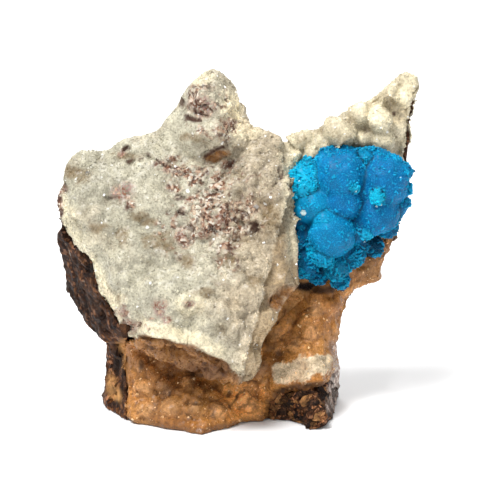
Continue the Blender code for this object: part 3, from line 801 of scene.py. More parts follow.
rock = fine_node("basalt_matrix", 2)
plate_away, lining_away = (
    nearest_on(node_tree(node), rock.points, ROCK_REACH)[2]
    for node in ("pale_druse_plate", "brown_druse_lining")
)
cluster_tree = node_tree("cavansite_cluster")
on_floor = step(rock.points[:, 2], 0.15, 1.2)
tucked = 0.75 * (1 - plate_away / ROCK_REACH) + 0.3 * (1 - lining_away / ROCK_REACH)
brown_zone = brown_on_rock(rock.points, rock.normals)
rock_x, rock_s = to_drawing(rock.points)
behind = faced(-rock.normals, -0.2, 0.3) * (1 - over(rock_x, 3, 4) * over(rock_s, 48, 5))
broken = (
    0.5 * facets(rock.points, 2.6, 31) + 0.35 * facets(rock.points, 1.2, 35)
    + 0.6 * layered(rock.points, 4, 39)
)
bent = rock.points + 0.8 * layered(rock.points, 3, 46)[:, None]
ledges = facets(rock.points, 9, 45) + 0.6 * facets(bent, 5, 47)
rock.height = broken * (1 - brown_zone) + brown_zone * lumps(rock.points, 2.8, 43, -0.7)
rock_turned = np.abs(rock.normals @ TO_VIEWER)  # 1 on the front and the back, 0 at the outline
rock_edge = 0.45 + 0.55 * step(rock_turned, 0.1, 0.6)
calm = 1 - 0.8 * patches(rock.points, THIN_ROCK, 0)
terraces = np.clip(1.5 * ledges - 1, -2.4, 0.8) * behind
rock_relief = (rock.height * 0.62 * rock_edge + terraces * rock_edge) * calm
rock.move((rock_relief - 0.15 - tucked) * on_floor)
rock.points[:, 0] += 0.9 * patches(rock.points, [(-37.6, 38.8, 2.2, 2.2)], 0)
rock.points[:, 0] -= 0.7 * patches(rock.points, [(36.8, 60.5, 1.8, 8)], 0)
rock.update()
close_gap(rock, cluster_tree, 2.4, 1.2)
rock.rest()
rock_tree = rock.tree()

BASALT = dict(
    values_at=basalt_values, material=basalt_material(), node="basalt_matrix", slot="basalt"
)
add_surface("basalt_rock", rock, **BASALT)
pale_rock = pale_on_rock(rock.points, rock.normals)
open_rock = step(np.minimum(plate_away, lining_away), 0.9, 1.6) * step(rock.points[:, 2], 0.6, 0.9)
open_rock *= 1 - over(rock_x, 12, 2) * over(rock_s - 0.55 * (rock_x - 14), 54, 1)
open_rock *= (1 - pale_rock) * (0.4 + 0.6 * step(rock_turned, 0.2, 0.6)) * step(calm, 0.6, 0.9)
grainy = 0.2 + 0.8 * step(noise(rock.points, 7, 55), -0.1, 0.35)
grainy = most(grainy, step(rock_turned, 0.3, 0.6) * (1 - behind))
rugged = low_right(rock_x, rock_s) * faced(rock.normals, 0.1, 0.4)
rugged *= step(rock.points[:, 2], 0.4, 0.8)
grow(
    "basalt_grains", BLOCK, rock, open_rock * (1 - brown_zone) * grainy, 1.15, 0.95, 0, **BASALT,
    lean=0.8, flat=(0.4, 1.0), sink=0.42, spread=0.5,
)
grow(
    "basalt_patch_grains", BLOCK, rock, rugged * (1 - brown_zone), 0.85, 1.15, 0, **BASALT,
    lean=1.0, flat=(0.5, 1.0), sink=0.40, spread=0.4,
)


# ---------------------------------------------------------------- pale druse
CREASE = -0.75  # how low the creases between the druses' round lumps go
# The lighter places on the lobe, along the plate's right edge, on the knob's right side and on the
# wing's right side are painted light on sides turned from the lamp.
TONES = [  # lighter and darker places: a place, and by how much
    (-15, 34.7, 5, 5, -0.2), (-30, 46.6, 8, 5, -0.17), (-23.3, 44.5, 3, 2.5, -0.12),
    (2, 47.6, 5, 5, -0.1), (-26, 38, 4, 4, -0.12), (-0.8, 61, 2.8, 4.4, 0.6), (31, 63, 7, 5, 0.26),
    (26.5, 56, 5, 3.4, 0.02), (20, 56.6, 3, 2.8, -0.06), (34, 58, 2.4, 4, 0.25),
    (3.2, 11.5, 2.8, 4.8, 0.6), (9, 19, 3, 6, 0.34), (7, 27.6, 2, 4.6, 0.42),
    (5.2, 16.6, 2.4, 4.4, 0.46), (3, 23.5, 4.6, 6, 0.1), (-8, 23, 4, 3, 0.1), (5.4, 30, 4, 5, 0.04),
]
CREAM = [
    (-10.4, 12.2, 7.6, 1.5), (-24.3, 22.6, 1.8, 1.6), (-9.9, 21.8, 3, 2.6), (-4, 8.4, 4.2, 1.4),
    (-14, 15, 3.4, 2), (-7.5, 67.8, 3, 1.6), (-1, 62, 2.6, 3.4), (-30.5, 26, 1.6, 5),
    (-34.6, 37, 1.4, 5), (30, 56, 6, 3.4), (33, 66, 4, 3.6), (22, 53.4, 5, 1.6), (13, 52, 4, 3),
    (2, 56.6, 4, 1.4), (35.4, 61, 2, 2.4),
]
RUST = [
    (-7.9, 65.7, 2.9, 1.1), (-2.4, 57.3, 2, 1.6), (-9.2, 47.7, 3.4, 1.9), (-4.3, 46.1, 2.2, 1.9),
    (-3.4, 38.9, 6, 3.9), (-0.4, 39.9, 2.2, 1.5), (-12.8, 45.4, 1.8, 0.9), (-1.5, 50, 1.8, 1.2),
    (-7, 43.2, 3, 1.6), (-2.2, 33.4, 2.4, 1.2), (-15.2, 49.9, 2.2, 0.9), (-10.2, 35.6, 2.2, 1.6),
    (-22, 42, 1, 1.2), (17.5, 53, 1.2, 0.6), (-6, 41.4, 3.4, 1.6), (-0.6, 37.2, 2.6, 1.6),
    (-12, 48.6, 1.4, 1.4), (-4.6, 43.6, 2.4, 1.2), (1.6, 42, 1.6, 1.4), (-8.6, 39.6, 1.4, 2),
    (-8.4, 63.4, 1.8, 2.2), (-3, 55.4, 1.4, 1.2), (-3.4, 32, 1.2, 1.8), (-13.6, 51.2, 1.6, 0.8),
]
SPECKLED = [  # wider areas with small rust specks
    (-4.6, 42, 9, 9.5), (-6, 61, 4.6, 6.5), (-13, 36, 4, 5), (-3, 30, 3, 4),
    (-23.6, 18.6, 2.4, 3.6), (-19, 17.6, 3, 1.6),
]
MAUVE = [
    (-23.3, 44.5, 2.4, 1.9), (-9.9, 43, 1.2, 0.8), (-7.3, 35.8, 1, 1), (-11.8, 35.3, 1, 1.8),
    (-10.9, 33.7, 0.8, 0.8), (-15.8, 50.4, 1, 0.6), (-14.5, 49.1, 0.8, 0.8),
    (-23.8, 52.3, 0.8, 0.8), (-9.9, 21.7, 1.1, 0.7), (-15.8, 21, 1.5, 1.9), (-14.5, 18.7, 1, 0.8),
    (-35.9, 45.2, 1.2, 1), (-23.6, 20, 1.2, 1.6), (-3.4, 38.9, 1.8, 1.4), (-7.6, 61.8, 2.7, 2.3),
    (-17.6, 18.8, 0.9, 0.6), (-1.8, 58.6, 1.6, 0.9), (-22.6, 17, 1.6, 1.6),
]
OLIVE = [
    (-9.2, 55.6, 2.5, 0.9), (-33.1, 48.1, 2.9, 1.7), (-20.3, 39.3, 2.2, 1), (-23.3, 35.6, 1.4, 1.7),
    (-18.4, 38.4, 1.9, 0.8), (-27.9, 37.2, 2.2, 1), (-10.6, 30.2, 1.8, 1.4),
    (-24.3, 22.6, 0.6, 0.8), (20.8, 55.8, 2.9, 1.8), (31, 62.7, 1.3, 1), (26.5, 57.9, 1.4, 1.2),
    (13.4, 54.6, 1.8, 1.6), (-22.5, 51.8, 2.4, 0.9), (7, 22, 1.6, 1.2), (19, 52.5, 3, 0.9),
    (-15.5, 34.5, 3, 2.2), (-2, 31, 2.5, 1.5), (6.5, 38.5, 1.8, 4), (3.5, 26.5, 2, 1.4),
    (-6.5, 24, 2.2, 1.2),
]
DARK = [
    (-5.3, 69, 0.6, 0.4), (-11.4, 62.5, 0.6, 1.4), (-9.5, 59.3, 1.5, 0.5), (-3.5, 55.9, 0.8, 0.5),
    (-2.4, 49.5, 1.2, 0.6), (-1.4, 50.7, 0.6, 0.4), (-11.8, 43.5, 1, 0.7), (-11.6, 40.2, 1.2, 0.8),
    (3.3, 37.6, 0.9, 0.8), (-1.7, 41.4, 0.8, 0.6), (-22.9, 53.3, 0.8, 0.7), (-22.3, 50.7, 0.7, 0.5),
    (-20, 51, 0.5, 0.4), (-18.4, 52, 0.7, 0.5), (-16.4, 51.3, 0.5, 0.4), (-25.6, 43.4, 0.7, 0.3),
    (-4.2, 53.2, 2.3, 0.35), (1.6, 39.6, 1.1, 0.5), (-9, 61.2, 0.7, 0.5), (8.6, 47.5, 0.5, 1.2),
    (4.6, 36.2, 0.9, 0.4), (31.8, 60.6, 0.4, 0.3), (33.4, 59.8, 0.4, 0.4), (26, 57, 0.4, 0.8),
    (10.4, 46, 0.5, 1.4),
]
CRACKS = [  # dark cracks
    ([(-7.4, 51.6), (-6, 52.5), (-4.4, 53.4), (-2.4, 53.9)], 0.34),
    ([(-10.6, 59.9), (-9.4, 59.2), (-7.8, 58.9)], 0.42), ([(-11.6, 63.4), (-11.2, 61.4)], 0.35),
    ([(-9.4, 62.4), (-8.2, 61.6), (-6.6, 62), (-5.4, 60.9)], 0.28),
    ([(-8.8, 60.6), (-6.4, 60)], 0.26), ([(-2.8, 50), (-1.8, 49.4), (-0.8, 50.8)], 0.36),
    ([(-0.6, 40.6), (1, 40.2), (2, 39)], 0.42),
    ([(2.4, 37.8), (3.4, 38.2), (3.8, 36.8), (2.8, 36.2)], 0.46), ([(-6, 41), (-4, 41.6)], 0.26),
    ([(0.2, 38.4), (1.4, 37.2)], 0.34), ([(-5.4, 37), (-4.4, 36.2)], 0.24),
    ([(-12.4, 43.9), (-11.2, 43.2)], 0.4), ([(-12.2, 40.4), (-11, 39.9)], 0.4),
    ([(8, 49), (8.8, 47.4), (10, 45.8), (10.6, 44.2)], 0.22), ([(7.6, 46.4), (6.6, 44.6)], 0.18),
    ([(-18.8, 52.2), (-17.2, 51.4), (-16, 50.6), (-14.8, 49.6)], 0.2),
    ([(-8.4, 65.9), (-5.8, 65.5)], 0.24), ([(-36.4, 47.8), (-36, 46.4), (-35.4, 44.6)], 0.45),
    ([(-26.6, 43.5), (-24.8, 43.2)], 0.22), ([(-7.8, 46.6), (-6.6, 45.6)], 0.24),
    ([(-4.6, 45), (-3.2, 44.2)], 0.3),
]
CLEFTS = [  # deep dark clefts
    ([(-6.6, 51.8), (-5.4, 52.7), (-3.8, 53.4), (-2.4, 53.9)], 0.36),
    ([(-10.4, 59.7), (-9.2, 59.1), (-7.8, 59)], 0.46), ([(-23.3, 53.1), (-22.6, 53.6)], 0.5),
    ([(-22.4, 50.6), (-21.6, 50.9)], 0.34), ([(-20.2, 51), (-19.6, 51.2)], 0.3),
    ([(-26.4, 43.5), (-24.6, 43.3)], 0.24), ([(2.6, 37), (3.6, 37.8)], 0.42),
    ([(-12.2, 40.3), (-11.2, 40)], 0.34),
]
DARK_SLIVER = [  # basalt that shows along the left edge
    ([(-36.7, 47.6), (-36.7, 45)], 0.5), ([(-36.7, 44), (-36.5, 42), (-36.1, 40)], 0.75),
]
PALE_EDGE = [  # x, s round the front of the crust, whose lower edge is cut by it
    (-45, 80), (-45, 14.6), (-23, 14.6), (-21.6, 14.9), (-20.4, 16.2), (-19, 15.7), (-17, 15),
    (-14.9, 15.1), (-13.8, 14.7), (-9.9, 13.1), (-7.2, 12.1), (-5, 11.2), (-3.3, 10.3), (-1.9, 8.5),
    (0, 7), (2.2, 6.4), (3.6, 7.4), (4.6, 9.9), (3.9, 12.6), (4.1, 13.6), (5.5, 14.7), (6.5, 17.1),
    (8.7, 18.6), (8.3, 20), (6.7, 22), (7.3, 23.3), (9, 24.7), (12.1, 25.7), (14, 20), (45, 20),
    (45, 80),
]
LIP_ENDS = (-20.5, -3)  # x of the two ends of the smooth lip on the lower edge
SLAB_LUMPS = [
    (-9.9, 21.8, 2.7, 0.9), (-31.8, 45.2, 3, 0.5), (-27.4, 50.4, 3.2, 0.6), (-28.6, 39.8, 3.4, 0.6),
    (-19, 44, 3.8, 0.5), (-15, 53.2, 3.4, 0.5), (-9.4, 50.4, 2.8, 0.4), (1, 46.8, 3.6, 0.6),
    (6.8, 51.8, 3.4, 0.6), (7.6, 43.6, 3, 0.5), (4.6, 31.8, 3.8, 0.7), (9, 33.8, 2.8, 0.6),
    (8.4, 27, 2.8, 0.6), (-1, 28.2, 3.2, 0.6), (2.8, 23.4, 3, 0.6), (-4.4, 20.2, 3.2, 0.5),
    (0.2, 15.4, 3, 0.5), (3, 10.2, 2.8, 0.4), (-16.8, 31.2, 4, 0.5), (-24.2, 29.6, 3.4, 0.5),
    (-18, 24.4, 3, 0.4), (-12, 26, 2.8, 0.4),
]
WING_LUMPS = [
    (12.8, 55, 3.2, 1.5), (20.5, 56.7, 4.2, 1.9), (24.4, 61, 3.6, 1.3), (28.6, 59.2, 3.7, 1.4),
    (33.8, 63.8, 2.9, 1), (35.4, 67.5, 2.9, 0.9), (29.8, 55, 3.4, 1.1), (16.6, 54.6, 2.6, 1),
    (33.4, 57.6, 2.4, 0.8), (25, 55.2, 2.6, 1.1), (31.4, 65.6, 2.4, 0.8), (14.6, 52.2, 2.8, 1.6),
    (18, 53.2, 2.6, 1.2), (11.6, 51.6, 2.2, 1.3),
]
WING_HOLLOWS = [  # darker hollows between them
    (30.8, 62.2, 1.5, 1.2), (26.4, 58.3, 0.5, 1), (17, 57, 0.4, 1), (22.8, 58.8, 0.8, 0.4),
]
ORANGE_HOLLOW = [(-5.2, 51.4, 1.9, 0.9), (-3.6, 52.3, 1.7, 0.9)]
RING_HOLLOW = [(-9.9, 21.7, 1, 0.7)]
NOTCH = [(8, 22.2, 1.9, 1.7), (9.8, 24, 1.8, 1.5)]  # where the brown druse cuts into the plate
SHADED_EDGE = [(-6, 8, 6, 1.8)]


def slant(s):
    """How far right of its place at s = 40 the border of plate and wing is."""
    return 0.25 * (s - 40)


def over_edge(points):
    """How far a point is inside the pale crust's front, with a broken edge."""
    x, s = to_drawing(points)
    wavy = under(x, 0, 2) * under(s, 24, 3) * noise(points, 4.2, 65)
    return inside(points, PALE_EDGE) + 0.4 * layered(points, 2, 61) + wavy


def lip_share(points, depth):
    """1 on the smooth lip along the lower edge."""
    x, _ = to_drawing(points)
    ends = over(x, LIP_ENDS[0], 1) * under(x, LIP_ENDS[1], 1.2)
    reach = depth + 1.3 * layered(points, 3.2, 63)
    return step(depth, -0.3, 0.2) * (1 - step(reach, 1.6, 3.2)) * ends


def pale_values(points, normals, height, chance):
    def at(places, wobble, seed):
        return patches(points, places, wobble, seed)

    def broken(width, seed, low, high):
        return step(noise(points, width, seed), low, high)

    x, s = to_drawing(points)
    facing = faced(normals, -0.2, 0.1)
    wing = over(x, 9.5, 1.5) * over(s, 30, 3)
    low_wing = over(x, 18, 2) * under(s + 0.5 * layered(points, 2, 74), 35.5, 1)
    tan = np.clip(over(x + 3 * layered(points, 9, 71), -3, 7) * 0.85, 0, 1) * (1 - 0.5 * wing)
    left_rim = over(-(x * 0.905 + s * 0.425), 13.2, 0.9) * (1 - wing)
    depth = over_edge(points)
    lip = lip_share(points, depth) * facing
    cream = np.clip(at(CREAM, 0.25, 73) * 0.6 + left_rim + 0.85 * lip, 0, 1) * facing
    cream = most(cream * (1 - 0.5 * under(x, -28, 3)), 0.75 * wing)
    rust = most(at(RUST, 0.6, 75) * facing, 0.25 * low_wing)
    rust = rust * np.where(chance > 0.36, 1.0, 0.3) * broken(1.1, 78, -0.55, 0)
    rust = most(rust, 0.85 * (at(SPECKLED, 0.6, 104) * broken(0.9, 106, 0.22, 0.40) * facing))
    olive = at(OLIVE, 0.7, 79) * facing * 0.8
    olive = most(olive * (1 - 0.35 * wing), 0.45 * at(WING_HOLLOWS, 0.4, 80) * facing)
    below = 1 - step(depth, -0.2, 0.25)
    right = over(x, 0.5, 1)
    notch = at(NOTCH, 0.3, 100)
    # Tone holds painted light: sides turned from the lamp and the notch's hollow are made lighter.
    tone = toned(points, TONES, 0.3, 88) + 0.55 * rust * noise(points, 0.6, 90) + 0.5 * notch
    brown = most(
        below * (1 - right * broken(2.4, 102, -0.5, 0.3)), at(ORANGE_HOLLOW, 0.4, 87),
        0.75 * low_wing, notch,
    )
    dark_lines = at(chained(CRACKS), 0.9, 82) * broken(0.55, 84, -0.25, 0.2)
    sliver = at(chained(DARK_SLIVER), 0.5, 96) * faced(normals, -0.5, -0.2)
    dark = most(
        0.88 * most(at(DARK, 0.8, 81) * broken(0.8, 85, -0.45, 0.1), dark_lines) * facing,
        0.9 * rust * broken(0.7, 89, 0.30, 0.42),
        # Painted shadow under the crust's lower edge.
        0.45 * below * step(depth, -1.2, -0.2) * (1 - right),
        0.55 * below * at(SHADED_EDGE, 0.5, 92),
        0.95 * at(chained(CLEFTS), 0.6, 94) * facing,
        0.9 * sliver * broken(0.8, 98, -0.4, 0),
    )
    return {
        # In the notch the height is raised, which takes the painted crease shade off it.
        "body": four(tan, cream * (1 - below), height + 0.9 * notch, chance),
        "stains_and_painted_light": four(most(rust, sliver), at(MAUVE, 0.45, 77) * facing, olive, dark),
        "brown": brown,
        "tone": tone * facing,
        "glint": np.zeros_like(x),
    }


def seen_tree(seen, chosen):
    """A search tree of the chosen points by where they are seen."""
    tree = KDTree(len(chosen))
    for index in chosen:
        tree.insert(seen[index], index)
    tree.balance()
    return tree


def fuller_edge(surface):
    """Brings the plate's slanting right edge forward, nearly to its crest, and softens it."""
    x, s = to_drawing(surface.points)
    seen = np.column_stack([x, s, np.zeros(len(x))])
    on_plate = over(x, 0.5, 2) * under(x - slant(s), 8, 1) * under(s, 34, 4)
    turned = surface.normals @ TO_VIEWER
    slanting = step(turned, 0, 0.2) * step(over_edge(surface.points), -0.7, 0.1) * on_plate
    depth = surface.points @ TO_VIEWER
    crest = seen_tree(seen, np.flatnonzero((turned > 0.8) & (on_plate > 0)))
    for index in np.flatnonzero(slanting > 0):
        lack = max(0.0, depth[crest.find(seen[index])[1]] - depth[index])
        surface.points[index] += 0.8 * slanting[index] * lack * TO_VIEWER
    surface.update()
    softened = over(x, 0, 4) * on_plate * faced(surface.normals, 0.1, 0.4)
    depth = surface.points @ TO_VIEWER
    front = np.flatnonzero(softened > 0)
    around = seen_tree(seen, front)
    for index in front:
        near = [found[1] for found in around.find_range(seen[index], 2.8)]
        lack = depth[near].mean() - depth[index]
        surface.points[index] += 0.9 * softened[index] * lack * TO_VIEWER
    surface.update()


crust = fine_node("pale_druse_plate", 3)
fuller_edge(crust)
free = 1 - close_gap(crust, rock_tree)
free = free * (1 - close_gap(crust, cluster_tree, 1.5, 0.7))
crust_x, crust_s = to_drawing(crust.points)
right = over(crust_x, 0, 1)
wing_part = (crust_x > 9 + slant(crust_s)).astype(float)
edge_depth = over_edge(crust.points)
lip = lip_share(crust.points, edge_depth)
front = faced(crust.normals, 0.1, 0.5)
flat_on = step(np.abs(crust.normals @ TO_VIEWER), 0.1, 0.5)
drift = 3 * layered(crust.points, 9, 71)
lumpy = 0.80 + 0.65 * over(crust_x + drift, -6, 7) * (1 - 0.5 * wing_part)
little = lumps(crust.points, 1.5, 99, CREASE) * over(crust_x, -2, 3)
crust.height = (
    0.50 * lumps(crust.points, 4.2, 91, CREASE) + 0.35 * lumps(crust.points, 2.2, 93, CREASE)
    + 0.22 * little + 0.1 * layered(crust.points, 1.4, 95)
)
wing_rise = lump_rise(crust.points, WING_LUMPS)
wing_height = np.clip(0.9 * (wing_rise * front) - 0.75, -0.6, 0.9)
crust.height += wing_part * (wing_height - 0.65 * crust.height)
crust.height *= 1 - 0.75 * wing_part * faced(-crust.normals, -0.1, 0.4)
holes = patches(crust.points, chained(CRACKS + CLEFTS) + RING_HOLLOW, 0.3, 83)
relief = lump_rise(crust.points, SLAB_LUMPS) * front * 1.3 + (wing_rise - 0.8 * holes) * front
relief -= 0.5 * patches(crust.points, WING_HOLLOWS, 0.3, 83) * front
relief -= patches(crust.points, ORANGE_HOLLOW, 0.3, 83) * front
hanging = 1 - step(edge_depth, -1, 0)
under_edge = hanging * (1 - right)
bulges = lumps(crust.points, 2.8, 97, -0.8)
relief += 1.5 * bulges * under_edge
relief += 0.8 * bulges * hanging * right * (1 - wing_part)
relief += (0.9 * lip - 1.5 * (1 - step(edge_depth, -0.6, 0.2))) * faced(crust.normals, 0, 0.4)
crust.height = crust.height * (1 - under_edge) + bulges * under_edge
full_edge = step(edge_depth, -0.4, 0.3) * (1 - step(edge_depth, 0.6, 3.4))
full_edge = full_edge * over(crust_x, 0.5, 1) * (1 - wing_part)
free = np.maximum(free, full_edge)
rough = (0.25 + flat_on) * crust.height * lumpy - 0.16 - 0.40 * flat_on
crust.move((rough * (1 - 0.85 * lip) + relief) * free)
crust_tree = crust.tree()

add_surface("pale_druse_crust", crust, pale_values, druse_material(
    "pale_druse_crust", (0.45, 0.42, 0.32), (0.40, 0.325, 0.225), (0.70, 0.62, 0.43), PALE_STAINS_AND_PAINTED_LIGHT, 0
), "pale_druse_plate", "pale_druse")
PALE = dict(
    values_at=pale_values, material=druse_material(
        "pale_druse_crystal", (0.53, 0.50, 0.385), (0.48, 0.40, 0.28), (0.76, 0.68, 0.47),
        PALE_STAINS_AND_PAINTED_LIGHT, 0.12
    ), node="pale_druse_plate", slot="pale_druse",
)
open_crust = np.maximum(free, 0.97 * step(crust.normals @ TO_VIEWER + 0.5 * right, 0, 0.3))
slab_open, wing_open = open_crust * (1 - wing_part) * (1 - 0.8 * lip), open_crust * wing_part
grow("pale_slab_points", POINT, crust, slab_open, 0.46, 0.50, 0.003, **PALE, lean=0.35)
grow("pale_slab_blocks", BLOCK, crust, slab_open, 1.6, 0.46, 0.06, **PALE)
grow("pale_wing_points", POINT, crust, wing_open, 0.46, 0.42, 0.006, **PALE, lean=0.3)
grow(
    "pale_rock_points", POINT, rock, pale_rock * step(rock.points[:, 2], 30, 34), 0.46, 0.50, 0.005,
    **{**PALE, "node": "basalt_matrix"}, lean=0.35,
)
grow("pale_wing_blocks", BLOCK, crust, wing_open, 1.9, 0.42, 0.15, **PALE)


# ---------------------------------------------------------------- brown druse
# Dark veins, and painted shadow under the lobe, under the plate's lower edge and under the
# rosettes.
BROWN_VEINS_AND_SHADOWS = [
    (-2, 2, 0.4, 1.6), (1, 3.4, 0.4, 1), (-9.5, 1.2, 2, 0.3), (-14, 3, 0.3, 2),
    (8.4, 11.4, 0.9, 0.8), (0, 0.4, 2.4, 0.3), (-6, 7, 3, 0.4), (2, 5.8, 4.2, 0.35),
    (13, 25, 5, 0.8), (-20, 9, 0.5, 1.6), (-11, 10.2, 3, 0.5), (7, 1.2, 1.6, 0.5),
    (8.6, 3.4, 2.2, 0.8), (12.6, 4.4, 3, 0.8), (17, 4.9, 2.6, 0.8),
]
# Dark cracks, and painted shadow lines under the lobe's tip and under the rosettes.
BROWN_CRACKS_AND_SHADOWS = [
    ([(-2.8, 5.7), (-0.6, 5.9), (1.8, 6.2)], 0.28),
    ([(-1.4, 1), (-0.4, 2.2), (-0.2, 3), (1.2, 3.8)], 0.26),
    ([(9.6, 24.9), (13, 25), (16, 24.4), (19, 24.6)], 0.75),
    ([(27.2, 31.2), (29.2, 31.8), (31.6, 31)], 0.5),
    ([(6.6, 0.6), (7.6, 2.6), (9.4, 4), (12, 4.6), (15.4, 5), (18.6, 5)], 0.75),
]
# The lighter place in the hollow under the plate's lower edge is painted light that lifts its
# shade.
BROWN_TONES = [
    (1.8, 1.6, 6, 4.4, 1.05), (-12, 1.6, 9, 4, -0.26), (14, 17, 4, 5, 0.05), (8.6, 16, 3, 5, 0.22),
    (-8, 8.2, 6, 2.2, 0.3), (10.6, 7.7, 3.4, 2.2, 0.04), (15.6, 9, 4.4, 2, -0.24),
    (28.6, 28.2, 3, 2.8, -0.34),
]
CREAM_BAND = [(15, 8.9, 5.4, 1.9), (11.4, 7.4, 4.4, 2), (16.8, 10, 3.2, 1.3), (9.8, 8.9, 2, 0.9)]
BASE_LUMPS = [
    (-18.8, -0.1, 2.3, 0.9), (-13.8, 0.6, 2.9, 1), (-9.3, 0.8, 2.2, 0.8), (-15, 4.8, 2.4, 0.8),
    (-10.4, 5.4, 2, 0.7), (-19.6, 4.4, 2.2, 0.8), (-4.3, 0, 2.5, 0.8), (1.6, 2, 2.8, 0.8),
    (-20, 9.2, 2, 0.8), (-15.8, 9.6, 1.8, 0.6), (7, 15.5, 2.2, 0.7), (11, 13.6, 2.4, 0.8),
    (15, 15.6, 2.4, 0.8), (8.6, 19, 2, 0.7), (16.2, 20.6, 2.2, 0.7),
]
MAUVE_ROCK = [(31.4, 34.4, 2.2, 1.8)]
SHADED_HOLLOW = [(-9, 9, 9, 2.6), (2, 8, 3, 3)]
PITS = [(8.4, 11.4, 0.9, 0.9), (-9.5, 1.4, 1.2, 0.8)]


def brown_values(points, normals, height, chance):
    x, s = to_drawing(points)
    facing = faced(normals, -0.2, 0.1)
    band = step(patches(points, CREAM_BAND, 0.75, 111), 0.3, 0.6)
    mauve = 0.6 * patches(points, MAUVE_ROCK, 0.6, 138)
    mauve = most(over(x, 18.9, 0.6) * under(s, 14, 2), mauve)
    rim = 1 - step(points[:, 2], 0.5, 1.8)
    shadow = patches(points, SHADED_HOLLOW, 0.6, 114) * 0.55
    # Olive is partly a real olive tint and partly painted shadow in the hollow under the overhang;
    # along the bottom olive and dark are stronger.
    olive = np.clip(0.45 * step(layered(points, 3.2, 115), 0.25, 0.6) + 0.35 * rim + shadow, 0, 1)
    # Dark veins and painted shadow.
    veins_and_shadows = patches(points, BROWN_VEINS_AND_SHADOWS, 0.9, 113) * 0.7 * facing
    veins_and_shadows = veins_and_shadows * step(noise(points, 0.9, 119), -0.4, 0.2)
    # Dark cracks and painted shadow lines.
    dark_lines = 0.8 * patches(points, chained(BROWN_CRACKS_AND_SHADOWS), 0.4, 118) * facing
    dark = most(np.clip(veins_and_shadows + 0.25 * rim, 0, 1), dark_lines)
    bent = points + 0.5 * np.stack([noise(points, 1.5, seed) for seed in (131, 132, 133)], axis=1)
    seam = most(0.8 * seams(bent, 5, 123), 0.6 * seams(bent, 3, 121))
    seam = seam * step(layered(points, 2.2, 134), -0.3, 0.25)
    rise = lump_rise(points, BASE_LUMPS) + 0.08 * layered(points, 1.6, 135)
    seam = most(seam, 0.75 * step(rise, 0, 0.08) * (1 - step(rise, 0.10, 0.28)))
    golden = 0.13 * step(rise, 0.05, 0.75)
    tan = step(layered(points, 7, 117), -0.3, 0.5)
    return {
        "body": four(tan, most(band, golden) * facing, height, chance),
        "stains_and_painted_light": four(seam * (1 - band), mauve, olive * (1 - band), dark),
        "brown": np.zeros_like(x),
        "tone": (toned(points, BROWN_TONES, 0.4, 112) + 0.5 * golden) * facing,
        "glint": np.zeros_like(x),
    }


def rock_brown_values(points, normals, height, chance):
    """The same druse where it runs on over the basalt: no seams, and painted shadow in the crevices
    under the rosettes.
    """
    values = brown_values(points, normals, height, chance)
    olive = 0.3 * step(layered(points, 3, 129), 0.1, 0.5)
    values["stains_and_painted_light"] = four(0 * chance, 0 * chance, olive, patches(points, BROWN_CREVICES, 0.6, 53))
    return values


lining = fine_node("brown_druse_lining", 3)
lining_free = 1 - close_gap(lining, rock_tree)
lining_free = lining_free * (1 - close_gap(lining, cluster_tree, 2, 1))
lining.height = (
    0.5 * lumps(lining.points, 5, 123, -0.9) + 0.4 * lumps(lining.points, 3, 121, CREASE)
    + 0.25 * lumps(lining.points, 1.7, 125, CREASE)
)
domed = lump_rise(lining.points, BASE_LUMPS) * faced(lining.normals, 0.1, 0.5)
lining.height = lining.height * (1 - 0.5 * step(domed, 0, 0.3)) + 0.6 * step(domed, 0, 0.9) - 0.1
pitted = 1.2 * patches(lining.points, PITS, 0.2, 127)
band = 0.5 * patches(lining.points, CREAM_BAND, 0.3, 111)
lining_relief = 1.45 * lining.height - 0.45 + 0.5 * domed - pitted + band
lining.move(lining_relief * lining_free * step(lining.points[:, 2], 0.15, 1.2))
lining.rest()

add_surface("brown_druse_crust", lining, brown_values, druse_material(
    "brown_druse_crust", (0.50, 0.225, 0.060), (0.37, 0.145, 0.030), (0.66, 0.52, 0.34),
    BROWN_STAINS_AND_PAINTED_LIGHT, 0,
), "brown_druse_lining", "brown_druse")
BROWN = dict(
    values_at=brown_values, material=druse_material(
        "brown_druse_crystal", (0.58, 0.272, 0.076), (0.43, 0.175, 0.040), (0.72, 0.58, 0.40),
        BROWN_STAINS_AND_PAINTED_LIGHT, 0.08,
    ), node="brown_druse_lining", slot="brown_druse",
)
lining_open = lining_free * step(lining.points[:, 2], 0.3, 0.6)
grow("brown_druse_points", POINT, lining, lining_open, 0.44, 0.42, 0.03, **BROWN, lean=0.3)
grow("brown_druse_blocks", BLOCK, lining, lining_open, 1.5, 0.34, 0.22, **BROWN)
grow(
    "brown_rock_points", POINT, rock, brown_zone * step(plate_away, 0.6, 1), 0.46, 0.48, 0.02,
    rock_brown_values, BROWN["material"], "basalt_matrix", "basalt",
)


